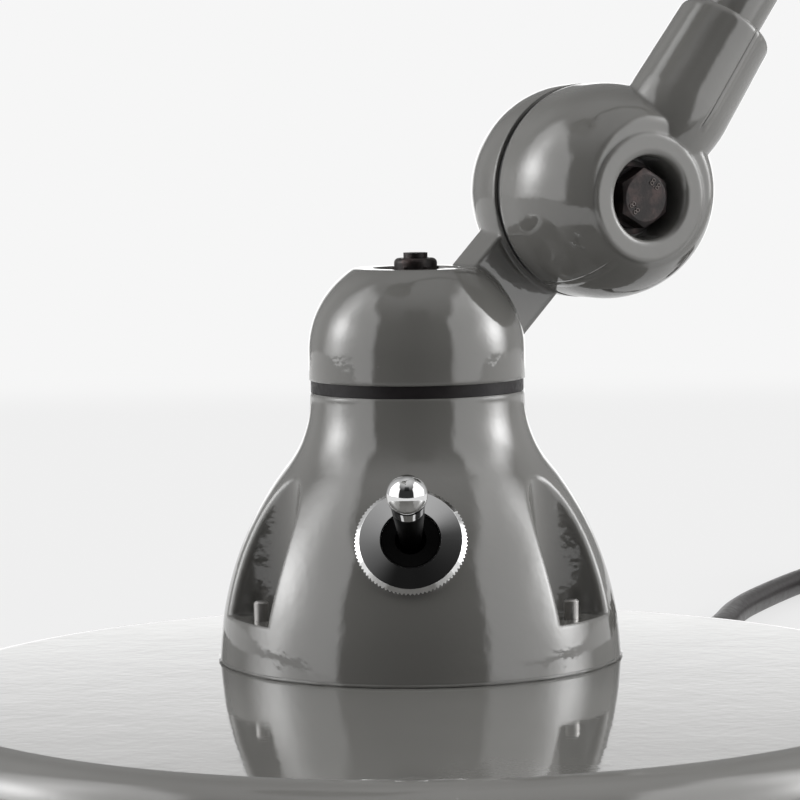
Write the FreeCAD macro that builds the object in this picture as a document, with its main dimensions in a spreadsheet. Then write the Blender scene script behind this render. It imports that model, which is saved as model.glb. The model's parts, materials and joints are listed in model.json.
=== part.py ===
"""Articulated table lamp: a heavy round base, a cast bell with a toggle switch, and two
arms on three friction joints that carry a shade.

Frame: millimetres, +Z up, origin at the centre of the pad's underside on the table.
The camera side of the lamp is -Y. The arms stand in one upright plane that is turned
about the swivel axis, and every joint's own frame has X along that plane, Y up and
Z out towards the bolt's head.
"""
import FreeCAD, Part
import math
import os
import Sketcher
from FreeCAD import Matrix, Placement, Rotation, Vector

DOC = FreeCAD.newDocument("table_lamp")

# Driving dimensions: millimetres, degrees and counts, with what each one is
SIZES = [
    ("base_radius", 130.0, "outer radius of the base cover"),
    ("base_top", 28.0, "height of the base cover's flat top"),
    ("base_roll", 9.5, "radius of the rolled shoulder of the cover"),
    ("cover_wall", 1.5, "sheet thickness of the cover"),
    ("rim_gap", 1.5, "height of the cover's rim above the table"),
    ("pad_thick", 3.0, "thickness of the pad under the base"),
    ("pad_inset", 4.0, "distance of the pad's edge inside the cover's outer face"),
    ("swivel_back", 38.0, "distance of the swivel axis behind the base's centre"),
    ("ballast_gap", 2.0, "gap between the ballast's edge and the cover's inner face"),
    ("ballast_floor", 21.0, "height of the ballast's sunk middle"),
    ("land_inset", 1.5, "distance of the ballast's land inside the edge of the cover's flat top"),
    ("land_wide", 14.0, "width of the ballast's land"),
    ("land_slope", 6.0, "depth of the ballast's bevel below its sunk middle"),
    ("slot_width", 13.0, "width of the cord's slot in the ballast"),
    ("slot_floor", 5.0, "height of the slot's floor"),
    ("slot_start", 26.0, "where the slot starts, from the base's centre"),
    ("stud_radius", 3.0, "radius of a stud"),
    ("stud_clear", 0.3, "gap round a stud"),
    ("stud_nut_flats", 10.0, "width across the flats of a stud's nut"),
    ("stud_nut_thick", 5.0, "thickness of a stud's nut"),
    ("stud_pocket", 8.0, "radius of the pocket for a stud's nut"),
    ("stud_pocket_deep", 8.0, "depth of that pocket from the ballast's underside"),
    ("wire_hole", 18.5, "radius of the hole under the bell"),
    ("bell_height", 66.5, "height of the bell over the base"),
    ("bell_neck", 26.73, "radius of the bell's top"),
    ("bell_lip", 1.5, "straight length at the bell's top"),
    ("bell_flare", 26.75, "radius of the hollow curve below the lip"),
    ("bell_turn", 38.8, "angle through which the hollow curve turns"),
    ("bell_belly", 79.13, "radius of the full curve below it"),
    ("bell_draft", 4.8, "slope of the bell's foot"),
    ("bell_wall", 6.0, "wall of the bell"),
    ("bell_roof", 8.0, "thickness of the bell's top"),
    ("front_turn", -3.0, "turn of the bell about the swivel axis"),
    ("screw_circle", 43.75, "radius of the circle of the bell's screws"),
    ("screw_spread", 60.0, "angle of the front screws from the bell's front"),
    ("pocket_radius", 10.0, "radius of a screw pocket"),
    ("pocket_floor", 12.2, "height of a pocket's floor over the base"),
    ("pocket_wall", 3.0, "wall round a pocket inside the bell"),
    ("pocket_round", 2.2, "rounding of a pocket's edge"),
    ("screw_radius", 2.0, "radius of a bell screw"),
    ("screw_clear", 0.25, "gap round a bell screw in the cover"),
    ("screw_proud", 4.8, "length of a screw's end in its pocket"),
    ("screw_head_radius", 3.5, "radius of a bell screw's head"),
    ("screw_head_thick", 2.4, "thickness of a bell screw's head"),
    ("screw_washer_radius", 4.5, "radius of the washer under a bell screw"),
    ("screw_washer_thick", 0.8, "thickness of that washer"),
    ("gasket_radius", 26.5, "radius of the swivel's friction ring"),
    ("gasket_inner", 19.0, "inner radius of the friction ring"),
    ("gasket_thick", 3.1, "thickness of the friction ring"),
    ("dome_radius", 26.9, "radius of the swivel's dome"),
    ("dome_straight", 7.25, "upright length of the dome's side"),
    ("dome_bulge", 23.75, "radius of the dome's shoulder"),
    ("dome_high", 27.5, "height of the dome of the swivel"),
    ("dome_ease", 1.6, "rounding of the edge of the dome's flat top"),
    ("dome_recess", 10.75, "radius of the recess in the dome's top"),
    ("dome_recess_deep", 5.0, "depth of that recess"),
    ("dome_floor", 5.0, "thickness under the recess"),
    ("swivel_bolt_radius", 3.0, "radius of the swivel bolt"),
    ("swivel_bolt_proud", 1.3, "length of the swivel bolt above its nut"),
    ("swivel_nut_flats", 10.0, "width across the flats of the swivel nut"),
    ("swivel_nut_thick", 3.7, "height of the swivel nut's hexagon"),
    ("swivel_collar", 2.1, "height of the swivel nut's round collar"),
    ("swivel_collar_radius", 5.35, "radius of the swivel nut's collar"),
    ("swivel_washer_radius", 9.0, "radius of the washer in the dome's recess"),
    ("swivel_washer_thick", 1.6, "thickness of that washer"),
    ("swivel_spring_radius", 8.0, "radius of the swivel's disc springs"),
    ("swivel_spring_thick", 1.2, "thickness of one of them"),
    ("swivel_spring_count", 3.0, "number of them"),
    ("swivel_head_thick", 4.0, "thickness of the swivel bolt's head"),
    ("boss_wall", 4.5, "wall of a boss round a bolt"),
    ("wire_way", 3.5, "radius of the way for wires"),
    ("arm_turn", 30.5, "turn of the arms' plane about the swivel axis"),
    ("neck_rise", 45.0, "slope of the neck"),
    ("neck_reach", 46.4, "distance of the lower joint from the swivel axis"),
    ("neck_drop", 1.2, "distance of the neck's middle below the joint's centre"),
    ("neck_width", 23.0, "width of the neck"),
    ("neck_thick", 11.5, "thickness of the neck"),
    ("neck_round", 1.0, "rounding of the neck's edges"),
    ("neck_start", 6.0, "where the neck's bar starts, from the joint's axis"),
    ("neck_stop", 24.0, "where the neck's bar stops, before the dome's axis"),
    ("joint_side", 7.5, "distance of a joint's disc from the neck's middle plane"),
    ("lower_joint_rise", 45.6, "height of the joint over the dome's foot"),
    ("shell_radius", 27.0, "radius of a joint's shell"),
    ("shell_bulge", 28.0, "radius of the shell's shoulder"),
    ("front_long", 28.5, "length of a front shell from its disc to its flat end"),
    ("rear_long", 26.0, "length of a rear shell from its disc to its flat end"),
    ("shell_ease", 2.5, "rounding of the edge of a shell's flat end"),
    ("front_straight", 7.0, "straight length of a front shell's side"),
    ("rear_straight", 3.1, "straight length of a rear shell's side"),
    ("shell_wall", 3.5, "wall of a shell"),
    ("disc_thick", 2.3, "thickness of a joint's disc"),
    ("disc_radius", 26.3, "radius of a joint's disc"),
    ("recess_radius", 10.4, "radius of the recess for a bolt's head"),
    ("recess_deep", 11.3, "depth of the recess for a bolt's head"),
    ("recess_round", 1.5, "rounding of a recess's mouth"),
    ("face_radius", 15.2, "radius of the flat face round a recess"),
    ("face_proud", 0.8, "height of that face over its shell's own flat end"),
    ("face_ease", 1.0, "rounding of that face's edge"),
    ("rear_recess_deep", 9.5, "depth of the recess for a nut"),
    ("bolt_radius", 4.0, "radius of a joint's bolt"),
    ("bolt_back", 1.8, "distance of a joint's bolt from its shells' middle, away from the arm"),
    ("bolt_fit", 0.05, "running gap round a bolt"),
    ("bolt_flats", 13.0, "width across the flats of a bolt's head and nut"),
    ("bolt_turn", 30.0, "turn of a bolt's head from the arms' plane"),
    ("bolt_head_thick", 5.3, "thickness of a bolt's head"),
    ("nut_thick", 6.5, "thickness of a joint's nut"),
    ("bolt_proud", 1.5, "length of a bolt past its nut"),
    ("joint_washer_radius", 7.6, "radius of the washer under a bolt's head"),
    ("joint_washer_thick", 1.4, "thickness of that washer"),
    ("joint_spring_radius", 9.2, "radius of a joint's disc springs"),
    ("joint_spring_thick", 1.2, "thickness of one of them"),
    ("joint_spring_count", 2.0, "number of them"),
    ("ring_inner", 11.0, "inner radius of the small contact ring"),
    ("ring_outer", 17.0, "inner radius of the large contact ring"),
    ("ring_wide", 2.4, "width of a contact ring"),
    ("ring_thick", 0.8, "thickness of a contact ring"),
    ("brush_radius", 1.6, "radius of a contact brush"),
    ("brush_long", 9.0, "length of a contact brush"),
    ("brush_gap", 1.0, "distance of a brush's post from the disc"),
    ("brush_post", 3.4, "radius of a brush's post"),
    ("socket_side", 18.4, "distance of an arm's axis from the disc's middle"),
    ("socket_start", 14.0, "where a socket starts, from the joint's axis"),
    ("socket_end", 51.0, "where a socket ends, from the joint's axis"),
    ("socket_lead", 12.0, "length over which a socket swells out of its shell's flat end"),
    ("socket_root", 13.25, "radius of a socket at its root"),
    ("socket_tip", 12.5, "radius of a socket at its end"),
    ("socket_round", 2.0, "rounding of a socket's tip"),
    ("tube_radius", 8.0, "radius of an arm's tube"),
    ("tube_wall", 1.5, "wall of an arm's tube"),
    ("tube_fit", 0.05, "gap round a tube in its socket"),
    ("tube_depth", 26.0, "length of a tube inside its socket"),
    ("grub_radius", 2.0, "radius of a socket's grub screw"),
    ("grub_place", 36.0, "where a grub screw is, from the joint's axis"),
    ("arm_length", 400.0, "length of an arm from joint to joint"),
    ("lower_rise", 53.7, "slope of the lower arm"),
    ("upper_rise", 145.0, "slope of the upper arm"),
    ("head_rise", 250.0, "direction in which the shade points"),
    ("cap_straight", 22.0, "straight length of the lamp holder's cap"),
    ("cap_wall", 3.0, "wall of the cap"),
    ("shade_flat", 33.0, "radius of the shade's flat top"),
    ("shade_bulge", 112.0, "radius of the shade's curve"),
    ("shade_mouth", 92.0, "radius of the shade at the end of its curve"),
    ("shade_deep", 96.0, "depth of the shade's curve"),
    ("shade_lip", 14.0, "length of the shade's straight lip"),
    ("shade_spread", 2.5, "widening of the shade along its lip"),
    ("shade_wall", 1.2, "sheet thickness of the shade"),
    ("shade_bead", 1.7, "radius of the bead round the shade's mouth"),
    ("holder_radius", 19.0, "radius of the lamp holder"),
    ("holder_shoulder", 23.4, "radius of the lamp holder's shoulder"),
    ("shoulder_thick", 6.0, "thickness of that shoulder"),
    ("holder_back", 34.0, "length of the holder inside the cap"),
    ("holder_front", 16.0, "length of the holder inside the shade"),
    ("holder_bore", 13.9, "radius of the holder's bore"),
    ("holder_bore_deep", 37.0, "depth of the holder's bore"),
    ("clamp_radius", 28.0, "radius of the shade's clamping ring"),
    ("clamp_thick", 5.0, "thickness of that ring"),
    ("clamp_fit", 0.05, "gap between the ring and the holder"),
    ("cap_screw_radius", 1.5, "radius of a screw in the cap"),
    ("bulb_cap_radius", 13.2, "radius of the bulb's cap"),
    ("bulb_cap_long", 27.0, "length of the bulb's cap"),
    ("bulb_neck", 13.0, "radius of the bulb's neck"),
    ("bulb_radius", 30.0, "radius of the bulb"),
    ("bulb_long", 78.0, "length of the bulb's glass"),
    ("glass_wall", 1.0, "wall of the bulb's glass"),
    ("switch_height", 33.7, "height of the switch's seat over the base"),
    ("switch_tilt", 27.5, "upward tilt of the switch's axis"),
    ("switch_seat", 0.8, "depth of the flat under the switch's nut"),
    ("dress_radius", 13.5, "radius of the knurled nut over its teeth"),
    ("dress_thick", 2.3, "thickness of the nut's rim"),
    ("dress_bevel", 1.2, "bevel of the nut's rim"),
    ("dress_rise", 0.6, "rise of the nut's face to its mouth"),
    ("dress_mouth", 7.0, "radius of the nut's mouth"),
    ("dress_back", 1.6, "thickness of the nut behind its mouth"),
    ("dress_teeth", 84.0, "number of teeth of the knurl"),
    ("dress_tooth", 0.45, "depth of a tooth"),
    ("bush_radius", 6.0, "radius of the switch's bushing"),
    ("bush_bore", 4.6, "radius of the bushing's bore"),
    ("bush_fit", 0.05, "gap between the bushing and its nut"),
    ("body_long", 26.0, "length of the switch's body"),
    ("body_wide", 20.0, "width of the switch's body"),
    ("body_high", 16.0, "height of the switch's body"),
    ("lever_throw", 11.5, "tilt of the lever from its middle"),
    ("lever_long", 21.6, "distance of the lever's ball from its pivot"),
    ("lever_ball", 4.85, "radius of the lever's ball"),
    ("lever_neck", 4.3, "radius of the lever's neck"),
    ("lever_foot", 2.6, "radius of the lever at its pivot"),
    ("pivot_deep", 0.4, "depth of the lever's pivot below the switch's seat"),
    ("pivot_radius", 1.0, "radius of the lever's pivot pin"),
    ("pivot_fit", 0.04, "running gap round the pivot pin"),
    ("terminal_radius", 2.2, "radius of a terminal screw"),
    ("terminal_long", 4.0, "length of a terminal screw"),
    ("cord_radius", 4.0, "radius of the mains cord"),
    ("cord_exit_turn", 68.0, "where the cord leaves the base, round from +X"),
    ("cord_exit_height", 10.5, "height of the cord's exit"),
    ("gland_long", 24.0, "length of the strain relief outside the cover"),
    ("gland_root", 7.5, "radius of the strain relief at the cover"),
    ("gland_tip", 5.4, "radius of the strain relief at its end"),
    ("gland_flange", 8.6, "radius of the strain relief's flanges"),
    ("gland_flange_thick", 1.5, "thickness of a flange"),
    ("gland_fit", 0.35, "gap between the inner flange and the round wall of the cover"),
    ("coil_radius", 55.5, "radius of the coil's outer turn"),
    ("coil_pitch", 8.7, "distance from one turn of the coil to the next"),
    ("coil_turns", 2.5, "turns in each layer of the coil"),
    ("tie_wall", 1.2, "thickness of the coil's tie"),
    ("tie_wide", 12.0, "width of the coil's tie"),
    ("tie_floor", 0.4, "height of the coil's lowest turns over the table, on the tie's band"),
    ("tie_gap", 0.4, "gap between the tie and the cord"),
    ("plug_lead", 36.0, "length of cord between the coil and the plug"),
    ("plug_long", 38.0, "length of the plug's body"),
    ("plug_wide", 36.0, "width of the plug's body"),
    ("plug_neck_long", 16.0, "length of the plug's tapered neck"),
    ("plug_neck", 5.6, "radius of the plug's neck at the cord"),
    ("plug_round", 5.0, "rounding of the plug's edges"),
    ("pin_radius", 2.4, "radius of a plug pin"),
    ("pin_long", 19.0, "length of a plug pin"),
    ("pin_spacing", 19.0, "distance between the plug's pins"),
]


class Size:
    """A size with its value and the sheet expression that gives it."""

    def __init__(self, value, text):
        self.value = value
        self.text = text

    def _join(self, other, sign, value):
        return Size(value, f"({self.text} {sign} {as_size(other).text})")

    def __add__(self, other):
        return self._join(other, "+", self.value + as_size(other).value)

    def __radd__(self, other):
        return as_size(other) + self

    def __sub__(self, other):
        return self._join(other, "-", self.value - as_size(other).value)

    def __rsub__(self, other):
        return as_size(other) - self

    def __mul__(self, other):
        return self._join(other, "*", self.value * as_size(other).value)

    def __rmul__(self, other):
        return as_size(other) * self

    def __truediv__(self, other):
        return self._join(other, "/", self.value / as_size(other).value)

    def __neg__(self):
        return as_size(0.0) - self

    def __float__(self):
        return float(self.value)


def as_size(number):
    """A Size for a plain number, or the Size itself."""
    if isinstance(number, Size):
        return number
    return Size(float(number), repr(float(number)))


def root(size):
    """Square root of a Size."""
    return Size(math.sqrt(size.value), f"sqrt({size.text})")


def sine(angle):
    """Sine of a Size in degrees."""
    return Size(math.sin(math.radians(angle.value)), f"sin({angle.text})")


def cosine(angle):
    """Cosine of a Size in degrees."""
    return Size(math.cos(math.radians(angle.value)), f"cos({angle.text})")


class Sheet:
    """The spreadsheet of driving dimensions, read by alias."""

    def __init__(self, rows):
        self.sheet = DOC.addObject("Spreadsheet::Sheet", "Sizes")
        for number, (alias, value, note) in enumerate(rows, start=1):
            self.sheet.set(f"A{number}", note)
            self.sheet.set(f"B{number}", str(value))
            self.sheet.setAlias(f"B{number}", alias)
            setattr(self, alias, Size(value, f"Sizes.{alias}"))
        DOC.recompute()


S = Sheet(SIZES)
PARTS = []


def keep(thing, label, place=None):
    """Name a finished sub-part and put it in its place."""
    thing.Label = label
    if place is not None:
        thing.Placement = place
    PARTS.append(thing)
    return thing


def bind(thing, **sizes):
    """Bind an object's properties to the sheet."""
    for name, size in sizes.items():
        thing.setExpression(name, as_size(size).text)
    return thing


def moved(thing, x=0.0, y=0.0, z=0.0, turn=None):
    """Move an object by sizes and turn it, and return it."""
    place = Placement(Vector(float(x), float(y), float(z)), turn or Rotation())
    thing.Placement = place
    for axis, size in (("x", x), ("y", y), ("z", z)):
        if isinstance(size, Size):
            thing.setExpression(f"Placement.Base.{axis}", size.text)
    return thing


def carried(solids, place):
    """Set solids, placed in a local frame, into the frame of the whole lamp."""
    for solid in solids:
        for axis in "xyz":
            solid.setExpression(f"Placement.Base.{axis}", None)
        solid.Placement = place.multiply(solid.Placement)


def cylinder(name, radius, height, x=0.0, y=0.0, z=0.0, turn=None):
    """A cylinder that stands on its place."""
    solid = DOC.addObject("Part::Cylinder", name)
    bind(solid, Radius=radius, Height=height)
    return moved(solid, x, y, z, turn)


def box(name, length, width, height, x=0.0, y=0.0, z=0.0, turn=None):
    """A box with its lowest corner at its place."""
    solid = DOC.addObject("Part::Box", name)
    bind(solid, Length=length, Width=width, Height=height)
    return moved(solid, x, y, z, turn)


def hexagon(name, flats, height, z=0.0):
    """A hexagonal prism of a width across flats."""
    solid = DOC.addObject("Part::Prism", name)
    solid.Polygon = 6
    bind(solid, Circumradius=flats / math.sqrt(3.0), Height=height)
    return moved(solid, z=z)


def fuse(name, *solids):
    """The union of some solids."""
    union = DOC.addObject("Part::MultiFuse", name)
    union.Shapes = list(solids)
    union.Refine = True
    return union


def cut(name, base, *tools):
    """A solid less one or more tools."""
    whole = DOC.addObject("Part::Cut", name)
    whole.Base = base
    whole.Tool = tools[0] if len(tools) == 1 else fuse(name + "_tools", *tools)
    return whole


def common(name, first, second):
    """What two solids share."""
    shared = DOC.addObject("Part::MultiCommon", name)
    shared.Shapes = [first, second]
    return shared


def feature(name, shape):
    """A shape made with Part's own functions."""
    holder = DOC.addObject("Part::Feature", name)
    holder.Shape = shape
    return holder


def copies(name, source, places):
    """Separate copies of one fastener at several places."""
    DOC.recompute()
    shapes = []
    for place in places:
        shape = source.Shape.copy()
        shape.Placement = place.multiply(shape.Placement)
        shapes.append(shape)
    return feature(name, Part.makeCompound(shapes))


class Bend:
    """An arc to the next point of an outline, with its centre on the left or the right."""

    def __init__(self, radius, left=True):
        self.radius = as_size(radius)
        self.left = left


def arc_of(first, last, bend):
    """The sketch arc between two points, and whether it runs from first to last."""
    chord = last - first
    half = chord.Length / 2
    radius = float(bend.radius)
    normal = Vector(-chord.y, chord.x, 0).normalize()
    side = 1 if bend.left else -1
    centre = (first + last) / 2 + normal * side * math.sqrt(max(radius ** 2 - half ** 2, 0.0))
    start, end = (first, last) if bend.left else (last, first)
    first_angle = math.atan2(start.y - centre.y, start.x - centre.x)
    last_angle = math.atan2(end.y - centre.y, end.x - centre.x)
    if last_angle <= first_angle:
        last_angle += 2 * math.pi
    circle = Part.Circle(centre, Vector(0, 0, 1), radius)
    return Part.ArcOfCircle(circle, first_angle, last_angle)


def bound_sketch(body, name, plane, outline):
    """A closed sketch whose points and radii are bound to the sheet."""
    sketch = body.newObject("Sketcher::SketchObject", name)
    planes = {item.Role: item for item in body.Origin.OriginFeatures}
    sketch.AttachmentSupport = [(planes[plane], "")]
    sketch.MapMode = "FlatFace"
    points = [item for item in outline if not isinstance(item, Bend)]
    spots = [Vector(float(x), float(y), 0) for x, y in points]
    bends = {}
    count = 0
    for item in outline:
        if isinstance(item, Bend):
            bends[count - 1] = item
        else:
            count += 1
    ends = []
    for number, first in enumerate(spots):
        last = spots[(number + 1) % len(spots)]
        if number in bends:
            geometry = sketch.addGeometry(arc_of(first, last, bends[number]), False)
            ends.append((geometry, 1, 2) if bends[number].left else (geometry, 2, 1))
        else:
            geometry = sketch.addGeometry(Part.LineSegment(first, last), False)
            ends.append((geometry, 1, 2))

    def rule(kind, *values, size=None):
        if size is None:
            sketch.addConstraint(Sketcher.Constraint(kind, *values))
            return
        place = sketch.addConstraint(Sketcher.Constraint(kind, *values, float(size)))
        if "Sizes." in size.text:
            sketch.setExpression(f"Constraints[{place}]", size.text)

    for number, (geometry, start, end) in enumerate(ends):
        following = ends[(number + 1) % len(ends)]
        rule("Coincident", geometry, end, following[0], following[1])
        for kind, axis, size in (("DistanceX", -2, points[number][0]),
                                 ("DistanceY", -1, points[number][1])):
            size = as_size(size)
            if size.text == "0.0":
                rule("PointOnObject", geometry, start, axis)
            else:
                rule(kind, -1, 1, geometry, start, size=size)
        if number in bends:
            rule("Radius", geometry, size=bends[number].radius)
    return sketch


def turned(name, outline):
    """A body turned about Z from an outline of (radius, height) points and bends."""
    body = DOC.addObject("PartDesign::Body", name)
    sketch = bound_sketch(body, name + "_outline", "XZ_Plane", outline)
    sketch.Visibility = False
    turn = body.newObject("PartDesign::Revolution", name + "_turn")
    turn.Profile = sketch
    turn.ReferenceAxis = (sketch, ["V_Axis"])
    turn.Angle = 360
    body.Tip = turn
    return body


def ring(name, inner, outer, height, low=0.0):
    """A flat ring."""
    top = as_size(low) + height
    return turned(name, [(inner, low), (outer, low), (outer, top), (inner, top)])


def edges_where(solid, test):
    """The numbers of a solid's edges on which every point passes a test."""
    DOC.recompute()
    found = []
    for number, edge in enumerate(solid.Shape.Edges, start=1):
        first, last = edge.ParameterRange
        spots = [edge.valueAt(first + (last - first) * share / 6) for share in range(1, 6)]
        if edge.Length > 1.0 and all(test(spot) for spot in spots):
            found.append(number)
    return found


def rounded(name, base, edges, radius):
    """A solid with some of its edges rounded."""
    soft = DOC.addObject("Part::Fillet", name)
    soft.Base = base
    soft.Edges = [(edge, float(radius), float(radius)) for edge in edges]
    return soft


# Frames
UP = Vector(0, 0, 1)
PLANE_OUT = Vector(math.cos(math.radians(float(S.arm_turn))),
                   math.sin(math.radians(float(S.arm_turn))), 0)
PLANE_SIDE = PLANE_OUT.cross(UP)
SWIVEL = Vector(0, float(S.swivel_back), 0)
DOME_FOOT = S.base_top + S.bell_height + S.gasket_thick


def frame(origin, x_axis, z_axis):
    """A placement from an origin and two of its axes."""
    y_axis = z_axis.cross(x_axis)
    matrix = Matrix(x_axis.x, y_axis.x, z_axis.x, origin.x,
                    x_axis.y, y_axis.y, z_axis.y, origin.y,
                    x_axis.z, y_axis.z, z_axis.z, origin.z, 0, 0, 0, 1)
    return Placement(matrix)


def in_plane(degrees):
    """A direction in the arms' plane at a slope."""
    angle = math.radians(degrees)
    return PLANE_OUT * math.cos(angle) + UP * math.sin(angle)


def along(degrees, reach):
    """A vector in the arms' plane."""
    return in_plane(degrees) * reach


LOWER_JOINT = (SWIVEL + PLANE_OUT * float(S.neck_reach) + PLANE_SIDE * float(S.joint_side)
               + UP * float(DOME_FOOT + S.lower_joint_rise))
ELBOW_JOINT = LOWER_JOINT + along(float(S.lower_rise), float(S.arm_length))
HEAD_JOINT = ELBOW_JOINT + along(float(S.upper_rise), float(S.arm_length))


class Joint:
    """A friction joint: the middle of its round shells, and its bolt a little to one side."""

    def __init__(self, name, middle, away):
        self.name = name
        self.middle = middle
        self.away = away
        self.axis = middle + along(away, float(S.bolt_back))

    def bolt_frame(self):
        """X along the arms' plane, Y up, Z out to the bolt's head, on the bolt's axis."""
        return frame(self.axis, PLANE_OUT, PLANE_SIDE)

    def disc_frame(self):
        """The same directions in the middle of the disc."""
        return frame(self.middle, PLANE_OUT, PLANE_SIDE)

    def front_frame(self):
        """The frame of the shell in front of the disc."""
        return frame(self.middle + PLANE_SIDE * float(S.disc_thick / 2), PLANE_OUT, PLANE_SIDE)

    def rear_frame(self):
        """The frame of the shell behind the disc, with Z pointing away from it."""
        return frame(self.middle - PLANE_SIDE * float(S.disc_thick / 2), PLANE_OUT, -PLANE_SIDE)


LOWER = Joint("lower", LOWER_JOINT, float(S.lower_rise) + 180.0)
ELBOW = Joint("elbow", ELBOW_JOINT, float(S.lower_rise))
HEAD = Joint("head", HEAD_JOINT, float(S.head_rise - S.neck_rise) + 180.0)


def flat_turn(degrees):
    """A turn that lays Z along a direction in a frame's XY plane."""
    return Rotation(UP, degrees).multiply(Rotation(Vector(0, 1, 0), 90))


# Base
COVER_INNER = S.base_radius - S.cover_wall
COVER_UNDER = S.base_top - S.cover_wall
LAND_EDGE = S.base_radius - S.base_roll - S.land_inset
STUD_CIRCLE = LAND_EDGE - S.land_wide / 2


def base_turns():
    """Directions of the three studs from the base's centre."""
    return [30.0, 150.0, 270.0]


def around(angle, radius, height=0.0, centre=Vector()):
    """A placement on a circle, turned to face outwards."""
    spot = centre + Vector(math.cos(math.radians(angle)), math.sin(math.radians(angle)), 0) * radius
    return Placement(spot + UP * height, Rotation(UP, angle))


def screw_turns():
    """Directions of the bell's screws from the swivel axis."""
    front = -90.0 + float(S.front_turn)
    return [front - float(S.screw_spread), front + float(S.screw_spread), front + 180.0]


def holes(name, radius, low, height, circle, angles, centre=Vector()):
    """Cylinders on a circle, as one tool."""
    tool = cylinder(name + "_one", radius, height)
    return copies(name, tool, [around(angle, circle, low, centre) for angle in angles])


def exit_turn():
    """A turn that lays Z along the cord's way out of the base."""
    return flat_turn(float(S.cord_exit_turn))


def exit_spot(radius):
    """A point on the cord's way out, at a distance from the base's centre."""
    return around(float(S.cord_exit_turn), radius, float(S.cord_exit_height)).Base


def base_cover():
    """Pressed steel cover with a rolled shoulder, welded studs and a hole for the cord."""
    shell = turned("cover_shell", [
        (COVER_INNER, S.rim_gap), (S.base_radius, S.rim_gap),
        (S.base_radius, S.base_top - S.base_roll), Bend(S.base_roll),
        (S.base_radius - S.base_roll, S.base_top), (0.0, S.base_top), (0.0, COVER_UNDER),
        (S.base_radius - S.base_roll, COVER_UNDER), Bend(S.base_roll - S.cover_wall, False),
        (COVER_INNER, S.base_top - S.base_roll)])
    stud_long = COVER_UNDER - S.pad_thick - 1.0
    studs = holes("cover_studs", S.stud_radius, float(S.pad_thick) + 1.0, stud_long + 0.5,
                  float(STUD_CIRCLE), base_turns())
    whole = fuse("cover_whole", shell, studs)
    wires = cylinder("cover_wire_hole", S.wire_hole, 10.0, y=S.swivel_back, z=COVER_UNDER - 4.0)
    screws = holes("cover_screw_holes", S.screw_radius + S.screw_clear, float(COVER_UNDER) - 1.0,
                   6.0, float(S.screw_circle), screw_turns(), SWIVEL)
    cord = moved(cylinder("cover_cord_hole", S.gland_root, 20.0), turn=exit_turn())
    cord.Placement.Base = exit_spot(float(S.base_radius) - 12.0)
    keep(cut("cover", whole, wires, screws, cord), "base_cover")


def base_ballast():
    """Cast iron disc under the cover, sunk in the middle, with a slot for the cord."""
    edge = COVER_INNER - S.ballast_gap
    inner = LAND_EDGE - S.land_wide
    disc = turned("ballast_disc", [
        (0.0, S.pad_thick), (edge, S.pad_thick), (edge, S.ballast_floor - S.land_slope),
        (LAND_EDGE, COVER_UNDER), (inner, COVER_UNDER),
        (inner, S.ballast_floor), (0.0, S.ballast_floor)])
    slot = box("ballast_slot", S.base_radius - S.slot_start, S.slot_width, S.base_top)
    turn = Rotation(UP, float(S.cord_exit_turn))
    start = turn.multVec(Vector(float(S.slot_start), -float(S.slot_width) / 2, 0))
    slot.Placement = Placement(start + UP * float(S.slot_floor), turn)
    studs = holes("ballast_stud_holes", S.stud_radius + S.stud_clear, 0.0, S.base_top,
                  float(STUD_CIRCLE), base_turns())
    pockets = holes("ballast_pockets", S.stud_pocket, float(S.pad_thick) - 1.0,
                    S.stud_pocket_deep + 1.0, float(STUD_CIRCLE), base_turns())
    keep(cut("ballast", disc, slot, studs, pockets), "base_ballast")


def ballast_nuts():
    """Three nuts that draw the ballast against the cover."""
    nut = cut("stud_nut", hexagon("stud_nut_hex", S.stud_nut_flats, S.stud_nut_thick),
              cylinder("stud_nut_hole", S.stud_radius, 20.0, z=-2.0))
    height = float(S.pad_thick + S.stud_pocket_deep - S.stud_nut_thick)
    keep(copies("stud_nuts", nut, [around(angle, float(STUD_CIRCLE), height)
                                   for angle in base_turns()]), "ballast_nuts")


def base_pad():
    """Round pad glued under the ballast, on which the lamp stands."""
    keep(ring("pad", 0.0, S.base_radius - S.pad_inset, S.pad_thick), "base_pad")


# Bell
def bell_outline(inset, top, foot):
    """The bell's outline: a lip, a hollow curve, a full curve and a sloping foot."""
    neck = S.bell_neck - inset
    flare = S.bell_flare + inset
    belly = S.bell_belly - inset
    lip = S.bell_height - S.bell_lip
    side_r = neck + flare * (1 - cosine(S.bell_turn))
    side_z = lip - flare * sine(S.bell_turn)
    belly_r = side_r + belly * (cosine(S.bell_draft) - cosine(S.bell_turn))
    belly_z = side_z - belly * (sine(S.bell_turn) - sine(S.bell_draft))
    slope = sine(S.bell_draft) / cosine(S.bell_draft)
    foot_r = belly_r + (belly_z - foot) * slope
    return [(0.0, foot), (foot_r, foot), (belly_r, belly_z), Bend(belly), (side_r, side_z),
            Bend(flare, False), (neck, lip), (neck, top), (0.0, top)]


def bell_radius(height):
    """The bell's radius and the slope of its wall at a height on its full curve."""
    turn = math.radians(float(S.bell_turn))
    side_r = float(S.bell_neck) + float(S.bell_flare) * (1 - math.cos(turn))
    side_z = float(S.bell_height - S.bell_lip) - float(S.bell_flare) * math.sin(turn)
    lean = math.asin(math.sin(turn) - (side_z - height) / float(S.bell_belly))
    return side_r + float(S.bell_belly) * (math.cos(lean) - math.cos(turn))


def front_way():
    """The direction of the bell's front."""
    return Rotation(UP, float(S.front_turn)).multVec(Vector(0, -1, 0))


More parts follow.
